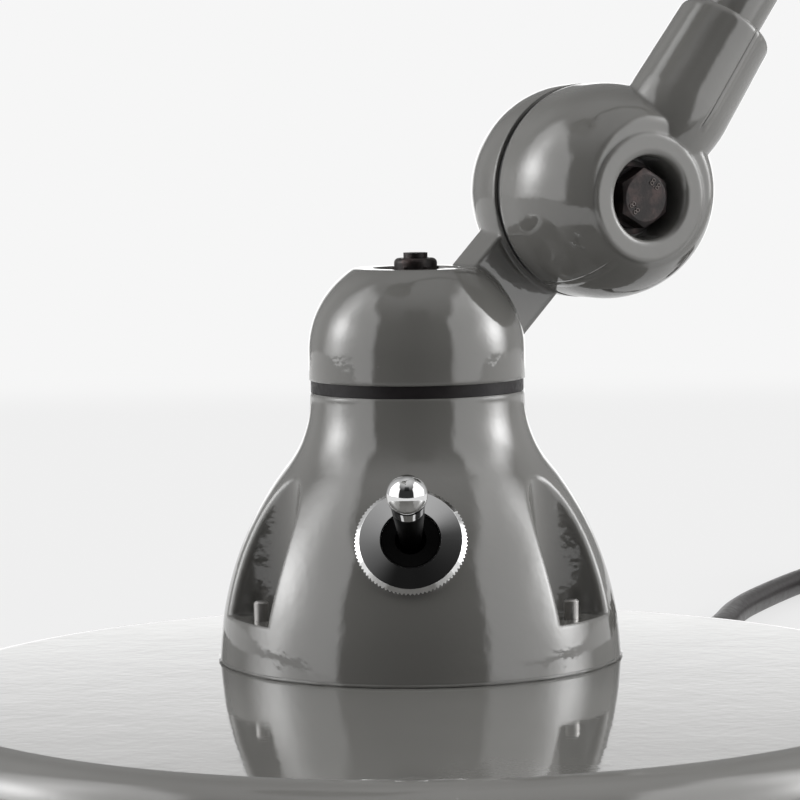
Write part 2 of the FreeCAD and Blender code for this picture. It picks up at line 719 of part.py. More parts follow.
def switch_frame():
    """The switch's frame: origin on its seat, Z out along the bushing, X sideways."""
    tilt = math.radians(float(S.switch_tilt))
    out = front_way() * math.cos(tilt) + UP * math.sin(tilt)
    height = float(S.switch_height)
    seat = SWIVEL + front_way() * bell_radius(height) + UP * (float(S.base_top) + height)
    side = UP.cross(front_way()).normalize()
    return frame(seat - out * float(S.switch_seat), side, out)


def on_pocket_rim(spot):
    """Whether a point of the bell lies where a pocket's wall meets the outer face."""
    reach = min((spot - around(turn, float(S.screw_circle), spot.z).Base).Length
                for turn in screw_turns())
    off = abs(math.hypot(spot.x, spot.y) - bell_radius(spot.z))
    return abs(reach - float(S.pocket_radius)) < 0.01 and off < 0.01


def bell_housing():
    """Cast bell with three screw pockets, a roof for the swivel and a seat for the switch."""
    outer = turned("bell_outer", bell_outline(as_size(0.0), S.bell_height, as_size(0.0)))
    inner = turned("bell_inner", bell_outline(S.bell_wall, S.bell_height - S.bell_roof,
                                              as_size(0.0)))
    shell = cut("bell_shell", outer, inner)
    posts = holes("bell_posts", S.pocket_radius + S.pocket_wall, 0.0, S.bell_height,
                  float(S.screw_circle), screw_turns())
    solid = turned("bell_form", bell_outline(S.bell_wall / 2, S.bell_height - 1.0,
                                             as_size(0.0)))
    whole = fuse("bell_whole", shell, common("bell_post_walls", posts, solid))
    pockets = holes("bell_pockets", S.pocket_radius, float(S.pocket_floor), S.bell_height,
                    float(S.screw_circle), screw_turns())
    screws = holes("bell_screw_holes", S.screw_radius, -1.0, S.pocket_floor + 3.0,
                   float(S.screw_circle), screw_turns())
    bolt = cylinder("bell_bolt_hole", S.swivel_bolt_radius, 20.0,
                    z=S.bell_height - S.bell_roof - 5.0)
    wires = cylinder("bell_wire_hole", S.wire_way + 0.5, 20.0, x=S.gasket_inner - 6.5,
                     z=S.bell_height - S.bell_roof - 5.0)
    bush = cylinder("bell_bush_hole", S.bush_radius + 0.1, 40.0, z=-20.0)
    seat = cylinder("bell_seat", S.dress_radius + 1.0, 10.0)
    inside = cylinder("bell_inner_seat", S.bush_radius + 6.0, 14.0, z=-S.bell_wall - 14.0)
    tools = [bush, seat, inside]
    here = Placement(SWIVEL + UP * float(S.base_top), Rotation()).inverse()
    carried(tools, here.multiply(switch_frame()))
    sunk = cut("bell_sunk", whole, pockets)
    soft = rounded("bell_soft", sunk, edges_where(sunk, on_pocket_rim), S.pocket_round)
    cast = cut("bell_cast", soft, screws, bolt, wires, *tools)
    keep(cast, "bell_housing", Placement(SWIVEL + UP * float(S.base_top), Rotation()))


def bell_screws():
    """Three screws from below the cover, whose dog points stand in the bell's pockets."""
    dog = S.screw_radius - 0.2
    under = S.screw_washer_thick + S.cover_wall
    end = under + S.pocket_floor + S.screw_proud
    screw = turned("bell_screw", [
        (0.0, 0.0), (S.screw_head_radius, 0.0), (S.screw_head_radius, S.screw_head_thick),
        (S.screw_radius, S.screw_head_thick),
        (S.screw_radius, S.screw_head_thick + end - S.screw_proud - 0.6),
        (dog, S.screw_head_thick + end - S.screw_proud - 0.2),
        (dog, S.screw_head_thick + end - 0.5), (dog - 0.5, S.screw_head_thick + end),
        (0.0, S.screw_head_thick + end)])
    low = float(S.base_top - under - S.screw_head_thick)
    places = [around(angle, float(S.screw_circle), low, SWIVEL) for angle in screw_turns()]
    keep(copies("bell_screw_set", screw, places), "bell_screws")
    washer = ring("screw_washer", S.screw_radius + 0.15, S.screw_washer_radius,
                  S.screw_washer_thick)
    low = float(S.base_top - under)
    places = [around(angle, float(S.screw_circle), low, SWIVEL) for angle in screw_turns()]
    keep(copies("screw_washer_set", washer, places), "bell_screw_washers")


# Swivel
RECESS_FLOOR = S.dome_high - S.dome_recess_deep


def swivel_parts():
    """Bolt, springs, friction ring, washer and nut that hold the dome on the bell."""
    roof = S.base_top + S.bell_height - S.bell_roof
    springs = S.swivel_spring_thick * S.swivel_spring_count
    nut_low = DOME_FOOT + RECESS_FLOOR + S.swivel_washer_thick
    nut_high = nut_low + S.swivel_nut_thick + S.swivel_collar
    low = roof - springs - S.swivel_head_thick
    place = Placement(SWIVEL + UP * float(low), Rotation())
    head = hexagon("swivel_head", S.swivel_nut_flats, S.swivel_head_thick)
    shank = cylinder("swivel_shank", S.swivel_bolt_radius, nut_high - low + S.swivel_bolt_proud)
    keep(fuse("swivel_bolt_whole", head, shank), "swivel_bolt", place)
    stack = []
    for number in range(int(float(S.swivel_spring_count))):
        low = roof - springs + S.swivel_spring_thick * number
        stack.append(Placement(SWIVEL + UP * float(low), Rotation()))
    spring = ring("swivel_spring_one", S.swivel_bolt_radius + 0.2, S.swivel_spring_radius,
                  S.swivel_spring_thick)
    keep(copies("swivel_spring_set", spring, stack), "swivel_springs")
    gasket = ring("swivel_ring", S.gasket_inner, S.gasket_radius, S.gasket_thick)
    keep(gasket, "swivel_gasket",
         Placement(SWIVEL + UP * float(S.base_top + S.bell_height), Rotation()))
    washer = ring("swivel_flat", S.swivel_bolt_radius + 0.15, S.swivel_washer_radius,
                  S.swivel_washer_thick)
    keep(washer, "swivel_washer",
         Placement(SWIVEL + UP * float(DOME_FOOT + RECESS_FLOOR), Rotation()))
    body = hexagon("swivel_nut_hex", S.swivel_nut_flats, S.swivel_nut_thick)
    round_top = S.swivel_nut_thick + S.swivel_collar
    collar = turned("swivel_nut_collar", [
        (0.0, 0.0), (S.swivel_collar_radius, 0.0),
        (S.swivel_collar_radius, round_top - 1.2), Bend(1.2),
        (S.swivel_collar_radius - 1.2, round_top), (0.0, round_top)])
    hole = cylinder("swivel_nut_hole", S.swivel_bolt_radius, 20.0, z=-2.0)
    nut = cut("swivel_nut_whole", fuse("swivel_nut_solid", body, collar), hole)
    keep(nut, "swivel_nut", Placement(SWIVEL + UP * float(nut_low), Rotation()))


def eased_form(radius, straight, bulge, high, ease):
    """Outline of a domed form: a straight side, a shoulder, an eased edge and a flat top."""
    middle = radius - bulge
    rise = high - ease - straight
    inner = bulge - ease
    reach = root(inner * inner - rise * rise)
    meet_r = middle + reach * bulge / inner
    meet_z = straight + rise * bulge / inner
    return [(0.0, 0.0), (radius, 0.0), (radius, straight), Bend(bulge), (meet_r, meet_z),
            Bend(ease), (middle + reach, high), (0.0, high)]


def dome_solids(name, straight, wall, boss_inside=True):
    """The outer form and the hollow of a dome, with a boss under its recess or plain."""
    bulge_back = S.dome_radius - S.dome_bulge
    high = straight + S.dome_high - S.dome_straight
    outer = turned(name + "_outer", eased_form(S.dome_radius, straight, S.dome_bulge, high,
                                               S.dome_ease))
    inner_bulge = S.dome_bulge - wall
    inner_flat = S.dome_recess + 3.0
    inner_high = straight + root(inner_bulge * inner_bulge
                                 - (inner_flat - bulge_back) * (inner_flat - bulge_back))
    boss = S.swivel_bolt_radius + S.boss_wall
    shelf = high - S.dome_recess_deep - S.dome_floor
    side = S.dome_radius - wall
    if boss_inside:
        inner = turned(name + "_inner", [
            (boss, 0.0), (side, 0.0), (side, straight), Bend(inner_bulge),
            (inner_flat, inner_high), (inner_flat, shelf), (boss, shelf)])
    else:
        inner = turned(name + "_inner", [
            (0.0, 0.0), (side, 0.0), (side, straight), Bend(inner_bulge),
            (inner_flat, inner_high), (0.0, inner_high)])
    return outer, inner, high


# Joints
SHELL_BACK = S.shell_radius - S.shell_bulge


class Shell:
    """The sizes in which the front and the rear half shells of a joint differ."""

    def __init__(self, straight, long, recess):
        self.straight = straight
        self.long = long
        self.recess = recess


FRONT = Shell(S.front_straight, S.front_long, S.recess_deep)
REAR = Shell(S.rear_straight, S.rear_long, S.rear_recess_deep)


def shell_solids(name, half, away):
    """The outer form, the hollow and the bolt's room of a joint's half shell."""
    aside = S.bolt_back * math.cos(math.radians(away))
    up = S.bolt_back * math.sin(math.radians(away))
    straight, end, recess = half.straight, half.long, half.recess
    crown = end - S.face_proud
    dome = turned(name + "_dome", eased_form(S.shell_radius, straight, S.shell_bulge, crown,
                                             S.shell_ease))
    edge = S.face_radius + S.face_ease
    face = moved(turned(name + "_face", [
        (0.0, crown - 5.0), (edge, crown - 5.0), (edge, end - S.face_ease), Bend(S.face_ease),
        (S.face_radius, end), (0.0, end)]), aside, up)
    outer = fuse(name + "_outer", dome, face)
    bulge = S.shell_bulge - S.shell_wall
    tube = S.recess_radius + S.bolt_back + S.shell_wall / 2
    top = crown - S.shell_wall
    meet = SHELL_BACK + root(bulge * bulge - (top - straight) * (top - straight))
    boss = S.bolt_radius + S.boss_wall
    shelf = end - recess - S.shell_wall
    side = S.shell_radius - S.shell_wall
    inner = turned(name + "_inner", [
        (boss, 0.0), (side, 0.0), (side, straight), Bend(bulge), (meet, top), (tube, top),
        (tube, shelf), (boss, shelf)])
    soft = S.recess_round
    room = moved(turned(name + "_recess", [
        (0.0, 0.0), (S.recess_radius, 0.0), (S.recess_radius, recess - soft), Bend(soft, False),
        (S.recess_radius + soft, recess), (S.recess_radius + soft, recess + 5.0),
        (0.0, recess + 5.0)]), aside, up, end - recess)
    hole = cylinder(name + "_bore", S.bolt_radius + S.bolt_fit, 60.0, aside, up, -5.0)
    return outer, inner, [room, hole]


def socket_solids(name, half, degrees):
    """The tapered sleeve of an arm's socket, its bore and its grub screw's hole."""
    long = S.socket_end - S.socket_start
    side = S.socket_side - S.disc_thick / 2
    level = half.long - side - 0.05
    swell = S.socket_root - level
    bend = (swell * swell + S.socket_lead * S.socket_lead) / (swell * 2)
    drop = float(side)
    turn = flat_turn(degrees)
    start = turn.multVec(UP * float(S.socket_start)) + UP * drop
    sleeve = turned(name + "_sleeve", [
        (0.0, 0.0), (level, 0.0), Bend(bend), (S.socket_root, S.socket_lead),
        (S.socket_tip, long - S.socket_round),
        Bend(S.socket_round), (S.socket_tip - S.socket_round, long), (0.0, long)])
    sleeve.Placement = Placement(start, turn)
    seat = cylinder(name + "_seat", S.tube_radius + S.tube_fit, S.tube_depth + 5.0)
    spot = turn.multVec(UP * float(S.socket_end - S.tube_depth)) + UP * drop
    seat.Placement = Placement(spot, turn)
    way = cylinder(name + "_way", S.tube_radius - S.tube_wall, S.socket_end - S.socket_start)
    spot = turn.multVec(UP * float(S.socket_start + 2.0)) + UP * drop
    way.Placement = Placement(spot, turn)
    grub = cylinder(name + "_grub_hole", S.grub_radius, 20.0)
    spot = turn.multVec(UP * float(S.grub_place)) + UP * drop
    grub.Placement = Placement(spot, Rotation(Vector(1, 0, 0), 180))
    return sleeve, [seat, way, grub]


def brush_posts(name, angle, away):
    """Two cast posts inside a front shell and the holes for their brushes."""
    shift = Rotation(UP, away).multVec(Vector(float(S.bolt_back), 0, 0))
    posts = []
    bores = []
    for number, inner in enumerate((S.ring_inner, S.ring_outer)):
        middle = float(inner + S.ring_wide / 2)
        spin = Rotation(UP, angle + 50.0 * number)
        spot = spin.multVec(Vector(middle, 0, 0)) + shift
        post = cylinder(f"{name}_post{number}", S.brush_post, S.front_long)
        post.Placement = Placement(spot + UP * float(S.brush_gap), Rotation())
        bore = cylinder(f"{name}_post_bore{number}", S.brush_radius, S.brush_long + 1.0)
        bore.Placement = Placement(spot - UP, Rotation())
        posts.append(post)
        bores.append(bore)
    return posts, bores


def arm_shell(label, joint, half, degrees, post_angle=None):
    """One half shell of a joint with the socket for an arm."""
    away = joint.away if half is FRONT else -joint.away
    outer, inner, rooms = shell_solids(label, half, away)
    sleeve, bores = socket_solids(label, half, degrees)
    body = cut(label + "_hollow", fuse(label + "_form", outer, sleeve), inner)
    rooms = rooms + bores
    if post_angle is not None:
        posts, brush_bores = brush_posts(label, post_angle, away)
        held = common(label + "_posts", fuse(label + "_post_pair", *posts), trim_form(label))
        body = fuse(label + "_posted", body, held)
        rooms = rooms + brush_bores
    place = joint.front_frame() if half is FRONT else joint.rear_frame()
    keep(cut(label + "_cast", body, *rooms), label, place)


def trim_form(name):
    """The form of a front shell a little inside its outer face, to trim what is in it."""
    return turned(name + "_trim", eased_form(S.shell_radius - 1.0, S.front_straight,
                                             S.shell_bulge - 1.0,
                                             S.front_long - S.face_proud - 1.0, S.shell_ease))


def brushes(label, joint, angle):
    """Two sprung brushes that run on a joint's contact rings."""
    source = cylinder(label + "_one", S.brush_radius, S.brush_long)
    shift = Rotation(UP, joint.away).multVec(Vector(float(S.bolt_back), 0, 0))
    places = []
    for number, inner in enumerate((S.ring_inner, S.ring_outer)):
        spin = Rotation(UP, angle + 50.0 * number)
        spot = spin.multVec(Vector(float(inner + S.ring_wide / 2), 0, 0)) + shift
        places.append(joint.front_frame().multiply(Placement(spot, Rotation())))
    keep(copies(label + "_pair", source, places), label)


def contact_disc(joint):
    """Insulating disc between two shells, with two brass rings let into its front."""
    name = joint.name
    half = S.disc_thick / 2
    aside = S.bolt_back * math.cos(math.radians(joint.away))
    up = S.bolt_back * math.sin(math.radians(joint.away))
    blank = cylinder(name + "_blank", S.disc_radius, S.disc_thick, z=-half)
    tools = [cylinder(name + "_disc_bore", S.bolt_radius + S.bolt_fit, 20.0, aside, up, -10.0)]
    rings = []
    low = half - S.ring_thick
    for number, inner in enumerate((S.ring_inner, S.ring_outer)):
        groove = ring(f"{name}_groove{number}", inner, inner + S.ring_wide, 2.0, low)
        tools.append(moved(groove, aside, up))
        rings.append(ring(f"{name}_ring{number}", inner, inner + S.ring_wide, S.ring_thick, low))
    keep(cut(name + "_disc", blank, *tools), name + "_contact_disc", joint.disc_frame())
    DOC.recompute()
    pair = [copies(f"{name}_set{number}", thing, [joint.bolt_frame()]).Shape
            for number, thing in enumerate(rings)]
    keep(feature(name + "_ring_pair", Part.makeCompound(pair)), name + "_contact_rings")


def joint_bolt(joint):
    """Bolt, washer, disc springs and nut of one friction joint."""
    name = joint.name
    half = S.disc_thick / 2
    floor = half + S.front_long - S.recess_deep
    springs = S.joint_spring_thick * S.joint_spring_count
    head_low = floor + springs + S.joint_washer_thick
    nut_high = -half - S.rear_long + S.rear_recess_deep
    tail = nut_high - S.nut_thick - S.bolt_proud
    place = joint.bolt_frame()
    head = hexagon(name + "_head", S.bolt_flats, S.bolt_head_thick, head_low)
    chamfer = turned(name + "_chamfer", [
        (0.0, 0.0), (S.bolt_flats / 2 + 2.0, 0.0),
        (S.bolt_flats / 2 + 2.0, S.bolt_head_thick - 1.3),
        (S.bolt_flats / 2 - 0.65, S.bolt_head_thick), (0.0, S.bolt_head_thick)])
    moved(chamfer, z=head_low)
    shank = cylinder(name + "_shank", S.bolt_radius, head_low - tail + 1.0, z=tail)
    bolt = fuse(name + "_bolt_whole", common(name + "_hex", head, chamfer), shank)
    turned_place = place.multiply(Placement(Vector(), Rotation(UP, float(S.bolt_turn))))
    keep(bolt, name + "_joint_bolt", turned_place)
    washer = ring(name + "_washer_flat", S.bolt_radius + 0.2, S.joint_washer_radius,
                  S.joint_washer_thick, head_low - S.joint_washer_thick)
    spring = ring(name + "_spring_one", S.bolt_radius + 0.2, S.joint_spring_radius,
                  S.joint_spring_thick)
    stack = []
    for number in range(int(float(S.joint_spring_count))):
        lift = floor + S.joint_spring_thick * number
        stack.append(place.multiply(Placement(UP * float(lift), Rotation())))
    flat = copies(name + "_flat_washer", washer, [place])
    pair = copies(name + "_spring_set", spring, stack)
    DOC.recompute()
    keep(feature(name + "_washer_stack", Part.makeCompound([flat.Shape, pair.Shape])),
         name + "_joint_washers")
    nut = cut(name + "_nut_whole", hexagon(name + "_nut_hex", S.bolt_flats, S.nut_thick,
                                           nut_high - S.nut_thick),
              cylinder(name + "_nut_hole", S.bolt_radius, 60.0, z=nut_high - 40.0))
    keep(nut, name + "_joint_nut", place)


def neck_bar(name, degrees, length, middle):
    """The flat bar between a dome and a half shell, in the shell's own frame."""
    bar = box(name + "_bar", length, S.neck_width, S.neck_thick)
    soft = rounded(name + "_soft", bar, (9, 10, 11, 12), S.neck_round)
    spin = Rotation(UP, degrees)
    start = spin.multVec(Vector(float(S.neck_start), -float(S.neck_width) / 2, 0))
    soft.Placement = Placement(start + UP * (middle - float(S.neck_thick) / 2), spin)
    return soft


def base_knuckle():
    """One casting: the swivel's dome, its neck and the rear shell of the lower joint."""
    outer, inner, rooms = shell_solids("knuckle_shell", REAR, -LOWER.away)
    shell_place = LOWER.rear_frame()
    dome_place = Placement(SWIVEL + UP * float(DOME_FOOT), Rotation())
    dome, hollow, high = dome_solids("knuckle_dome", S.dome_straight, S.shell_wall)
    recess = cylinder("knuckle_recess", S.dome_recess, 20.0, z=high - S.dome_recess_deep)
    bore = cylinder("knuckle_bore", S.swivel_bolt_radius + S.bolt_fit, 60.0, z=-5.0)
    foot = cylinder("knuckle_foot", S.swivel_bolt_radius + S.boss_wall + 0.5, 1.0, z=-0.5)
    carried((dome, hollow, recess, bore, foot), dome_place)
    middle = float(S.joint_side - S.disc_thick / 2)
    reach = math.hypot(float(S.neck_reach), float(S.lower_joint_rise))
    slope = 180.0 - float(S.neck_rise)
    bar = neck_bar("knuckle", slope, reach - S.neck_start - S.neck_stop, middle)
    drop = Rotation(UP, slope).multVec(Vector(0, -1, 0)) * float(S.neck_drop)
    bar.Placement.Base = bar.Placement.Base + drop
    way = cylinder("knuckle_way", S.wire_way, reach - S.neck_stop - 14.0)
    way.Placement = Placement(Rotation(UP, slope).multVec(Vector(16.0, 0, 0)) + drop
                              + UP * middle, flat_turn(slope))
    carried([outer, inner, bar, way] + rooms, shell_place)
    form = fuse("knuckle_form", outer, dome, bar)
    keep(cut("knuckle_cast", form, inner, hollow, recess, bore, foot, way, *rooms),
         "base_knuckle")


# Arms
def arm_parts(label, start, degrees, side):
    """Tube of an arm, and the screws that hold it in its two sockets."""
    offset = PLANE_SIDE * float(S.socket_side) * side
    seat = float(S.socket_end - S.tube_depth)
    length = S.arm_length - (S.socket_end - S.tube_depth) * 2
    tube = ring(label + "_tube_bar", S.tube_radius - S.tube_wall, S.tube_radius, length)
    place = frame(start + offset + along(degrees, seat), PLANE_SIDE, in_plane(degrees))
    keep(tube, label + "_tube", place)
    grub = turned(label + "_grub", [(0.0, 0.0), (S.grub_radius, 0.0),
                                    (S.grub_radius, S.socket_tip - S.tube_radius - 0.6),
                                    (0.0, S.socket_tip - S.tube_radius - 0.6)])
    places = []
    for reach in (float(S.grub_place), float(S.arm_length - S.grub_place)):
        spot = start + offset + along(degrees, reach) - PLANE_SIDE * side * float(S.tube_radius)
        places.append(frame(spot, PLANE_OUT, PLANE_SIDE * -side))
    keep(copies(label + "_grubs", grub, places), label + "_screws")


# Head
def head_frame():
    """The head's frame: origin on the shade's axis at the cap's rim, Z to the cap's top."""
    aim = in_plane(float(S.head_rise))
    left = in_plane(float(S.head_rise) - 90.0)
    lift = float(S.lower_joint_rise + S.cap_straight - S.dome_straight)
    middle = HEAD_JOINT + PLANE_SIDE * float(S.joint_side)
    return frame(middle + left * float(S.neck_reach) + aim * lift, left, -aim)


def head_knuckle():
    """One casting: the front shell of the head joint, its neck and the holder's cap."""
    place = HEAD.front_frame()
    outer, inner, rooms = shell_solids("head_shell", FRONT, HEAD.away)
    posts, bores = brush_posts("head", 60.0, HEAD.away)
    held = common("head_posts", fuse("head_post_pair", *posts), trim_form("head"))
    dome, hollow, high = dome_solids("head_cap", S.cap_straight, S.cap_wall, False)
    screws = copies("head_screw_holes", cylinder("head_screw_hole", S.cap_screw_radius, 20.0),
                    [Placement(Rotation(UP, turn).multVec(Vector(float(S.holder_shoulder), 0, 0))
                               + UP * float(S.shoulder_thick / 2), flat_turn(turn))
                     for turn in (60.0, 180.0, 300.0)])
    carried((dome, hollow, screws), head_frame())
    middle = float(S.joint_side - S.disc_thick / 2)
    reach = math.hypot(float(S.neck_reach), float(S.lower_joint_rise))
    slope = float(S.head_rise) - float(S.neck_rise)
    bar = neck_bar("head", slope, reach - S.neck_start - S.neck_stop, middle)
    drop = Rotation(UP, slope).multVec(Vector(0, 1, 0)) * float(S.neck_drop)
    bar.Placement.Base = bar.Placement.Base + drop
    way = cylinder("head_way", S.wire_way, reach - S.neck_stop - 14.0)
    way.Placement = Placement(Rotation(UP, slope).multVec(Vector(16.0, 0, 0)) + drop
                              + UP * middle, flat_turn(slope))
    carried([outer, inner, bar, way, held] + rooms + bores, place)
    form = cut("head_hollow", fuse("head_form", outer, dome, bar), inner, hollow)
    body = fuse("head_body", form, held)
    keep(cut("head_cast", body, way, screws, *(rooms + bores)), "head_knuckle")


def shade_parts():
    """Spun shade, its clamping ring, the lamp holder, the cap's screws and the bulb."""
    place = head_frame().multiply(Placement(Vector(), Rotation(Vector(1, 0, 0), 180)))
    wall = S.shade_wall
    mouth = S.shade_mouth + S.shade_spread
    low = S.shade_deep + S.shade_lip
    shell = turned("shade_shell", [
        (S.holder_radius + 0.3, 0.0), (S.shade_flat, 0.0), Bend(S.shade_bulge, True),
        (S.shade_mouth, S.shade_deep), (mouth, low), (mouth - wall, low),
        (S.shade_mouth - wall, S.shade_deep), Bend(S.shade_bulge - wall, False),
        (S.shade_flat - wall / 2, wall), (S.holder_radius + 0.3, wall)])
    bead = DOC.addObject("Part::Torus", "shade_bead")
    bind(bead, Radius1=mouth - wall / 2, Radius2=S.shade_bead)
    moved(bead, z=low)
    keep(fuse("shade_whole", shell, bead), "shade", place)
    clamp = ring("shade_clamp", S.holder_radius + S.clamp_fit, S.clamp_radius, S.clamp_thick,
                 wall)
    keep(clamp, "shade_ring", place)
    base = S.holder_back
    holder = turned("holder_form", [
        (0.0, 0.0), (S.holder_radius, 0.0), (S.holder_radius, base - S.shoulder_thick),
        (S.holder_shoulder, base - S.shoulder_thick), (S.holder_shoulder, base),
        (S.holder_radius, base), (S.holder_radius, base + S.holder_front),
        (S.holder_bore, base + S.holder_front),
        (S.holder_bore, base + S.holder_front - S.holder_bore_deep),
        (0.0, base + S.holder_front - S.holder_bore_deep)])
    keep(holder, "lamp_holder", place.multiply(Placement(UP * -float(base), Rotation())))
    screw = cylinder("holder_screw", S.cap_screw_radius, S.dome_radius - S.holder_shoulder + 0.6)
    spots = [head_frame().multiply(Placement(
        Rotation(UP, turn).multVec(Vector(float(S.holder_shoulder), 0, 0))
        + UP * float(S.shoulder_thick / 2), flat_turn(turn))) for turn in (60.0, 180.0, 300.0)]
    keep(copies("holder_screw_set", screw, spots), "cap_screws")
    cap_low = S.holder_front - S.holder_bore_deep
    cap_place = place.multiply(Placement(UP * float(cap_low), Rotation()))
    cap = turned("bulb_cap_form", [
        (0.0, 0.0), (S.bulb_cap_radius - 7.0, 0.0), (S.bulb_cap_radius, 3.5),
        (S.bulb_cap_radius, S.bulb_cap_long), (0.0, S.bulb_cap_long)])
    keep(cap, "bulb_cap", cap_place)
    ball = S.bulb_radius
    meet_r = ball * 0.6
    meet_z = S.bulb_long - ball - ball * 0.8
    inner = ball - S.glass_wall
    glass = turned("bulb_form", [
        (0.0, 0.0), (S.bulb_neck, 0.0), (S.bulb_neck, 9.0), Bend(28.0, False),
        (meet_r, meet_z), Bend(ball), (0.0, S.bulb_long), (0.0, S.bulb_long - S.glass_wall),
        Bend(inner, False), (inner * 0.6, S.bulb_long - ball - inner * 0.8),
        Bend(28.0 + S.glass_wall), (S.bulb_neck - S.glass_wall, 9.0),
        (S.bulb_neck - S.glass_wall, S.glass_wall), (0.0, S.glass_wall)])
    keep(glass, "bulb_glass", cap_place.multiply(Placement(UP * float(S.bulb_cap_long),
                                                           Rotation())))


# Switch
def switch_parts():
    """Toggle switch: body inside the bell, bushing, knurled nut, lever and terminals."""
    place = switch_frame()
    inside = -S.bell_wall
    body = box("switch_box", S.body_wide, S.body_high, S.body_long,
               -S.body_wide / 2, -S.body_high / 2, inside - S.body_long)
    stem = cylinder("switch_bush_bar", S.bush_radius, S.dress_back + 0.6 - inside, z=inside)
    bore = cylinder("switch_bush_bore", S.bush_bore, 20.0, z=inside + 1.5)
    pin = cylinder("switch_pin_hole", S.pivot_radius + S.pivot_fit, S.bush_radius * 2 - 1.0,
                   -S.bush_radius + 0.5, 0.0, -S.pivot_deep, flat_turn(0.0))
    carried([body], place)
    keep(body, "switch_body")
    keep(cut("switch_bush", stem, bore, pin), "switch_bushing", place)
    edge = S.dress_radius
    bevel = S.dress_bevel
    rim = S.dress_thick
    mouth = rim + S.dress_rise
    blank = turned("dress_blank", [
        (S.bush_radius + S.bush_fit, 0.0), (edge - 0.6, 0.0), (edge, 0.6), (edge, rim - bevel),
        (edge - bevel, rim), (S.dress_mouth + 0.3, mouth), (S.dress_mouth, mouth - 0.3),
        (S.dress_mouth, S.dress_back), (S.bush_radius + S.bush_fit, S.dress_back)])
    nut = common("dress_nut", blank, feature("dress_knurl", knurl_star(edge, rim + S.dress_rise)))
    keep(nut, "switch_nut", place)
    terminal = cylinder("terminal_one", S.terminal_radius, S.terminal_long)
    back = place.multiply(Placement(UP * float(inside - S.body_long - S.terminal_long),
                                    Rotation()))
    spots = [back.multiply(Placement(Vector(shift, 0, 0), Rotation())) for shift in (-5.5, 5.5)]
    keep(copies("terminal_set", terminal, spots), "switch_terminals")
    lever_parts(place)


def knurl_star(edge, height):
    """A star-shaped prism that gives a knurled rim its teeth."""
    count = int(float(S.dress_teeth))
    points = []
    for number in range(2 * count):
        angle = math.pi * number / count
        radius = float(edge) + 0.01 - (float(S.dress_tooth) if number % 2 else 0.0)
        points.append(Vector(radius * math.cos(angle), radius * math.sin(angle), -1.0))
    wire = Part.makePolygon(points + points[:1])
    return Part.Face(wire).extrude(UP * (float(height) + 2.0))


def lever_parts(place):
    """The lever: a pivot pin, a tapered stem and a ball, tilted up in its rest place."""
    long = S.lever_long
    neck = S.lever_neck
    ball = S.lever_ball
    meet = long - root(ball * ball - neck * neck)
    stem = turned("lever_stem", [
        (0.0, 0.0 - S.pivot_radius * 1.6), (S.lever_foot, 0.0 - S.pivot_radius * 1.6),
        (S.lever_foot, S.dress_back), (neck, meet), Bend(ball), (0.0, long + ball)])
    pin = cylinder("lever_pin", S.pivot_radius, S.bush_radius * 2 - 1.0,
                   -S.bush_radius + 0.5, 0.0, 0.0, flat_turn(0.0))
    lever = fuse("lever_whole", stem, pin)
    pivot = Placement(UP * -float(S.pivot_deep), Rotation(Vector(1, 0, 0), -float(S.lever_throw)))
    keep(lever, "switch_lever", place.multiply(pivot))


# Cord
COIL_LOW = float(S.cord_radius + S.tie_floor)


def rounded_path(points, radius=None):
    """Straight runs joined by tangent arcs, each as large as its two runs allow."""
    edges = []
    radii = []
    last = points[0]
    for before, corner, after in zip(points, points[1:], points[2:]):
        back = (before - corner)
        ahead = (after - corner)
        turn = math.pi - back.getAngle(ahead)
        step = 0.45 * min(back.Length, ahead.Length)
        if radius is not None:
            step = radius * math.tan(turn / 2)
        radii.append(step / math.tan(turn / 2))
        start = corner + back.normalize() * step
        end = corner + ahead.normalize() * step
        middle_way = (back + ahead).normalize()
        centre = corner + middle_way * (radii[-1] / math.cos(turn / 2))
        middle = centre - middle_way * radii[-1]
        edges.append(Part.LineSegment(last, start).toShape())
        edges.append(Part.Arc(start, middle, end).toShape())
        last = end
    edges.append(Part.LineSegment(last, points[-1]).toShape())
    print("cord arc radii", [round(radius, 1) for radius in radii])
    return Part.Wire(edges)


def swept(path, radius):
    """A round tube along a path."""
    start = path.Edges[0].valueAt(path.Edges[0].FirstParameter)
    way = path.Edges[0].tangentAt(path.Edges[0].FirstParameter)
    profile = Part.Wire([Part.makeCircle(radius, start, way)])
    return path.makePipeShell([profile], True, False)


def tail_points():
    """The cord's way over the table, from the strain relief to the coil."""
    gland = exit_spot(float(S.base_radius + S.gland_long))
    out = flat_turn(float(S.cord_exit_turn)).multVec(UP)
    low = float(S.cord_radius)
    return [gland, gland + out * 20.0 - UP * 0.5,
            Vector(78.3, 190.5, low + 0.7), Vector(93.6, 227.0, low), Vector(101.2, 262.0, low),
            Vector(114.8, 296.0, low), Vector(134.8, 338.0, low), coil_entry()]


def coil_centre():
    """The middle of the coil on the table, past the right edge of the view."""
    return Vector(205.0, 336.0, 0.0)


def coil_start():
    """Where the cord meets the coil, round from +X."""
    return 140.0


def coil_point(turns):
    """The coil's centre line: in, up a layer in half a turn, and out again."""
    pitch = float(S.coil_pitch)
    count = float(S.coil_turns)
    radius = float(S.coil_radius)
    inner = radius - pitch * count
    low = COIL_LOW
    if turns <= count:
        reach = radius - pitch * turns
    elif turns <= count + 0.5:
        share = (turns - count) * 2
        reach = inner - pitch / math.pi * 0.5 * math.sin(math.pi * share)
        low += pitch * (1 - math.cos(math.pi * share)) / 2
    else:
        reach = inner + pitch * (turns - count - 0.5)
        low += pitch
    angle = math.radians(coil_start()) - 2 * math.pi * turns
    return coil_centre() + Vector(reach * math.cos(angle), reach * math.sin(angle), low)


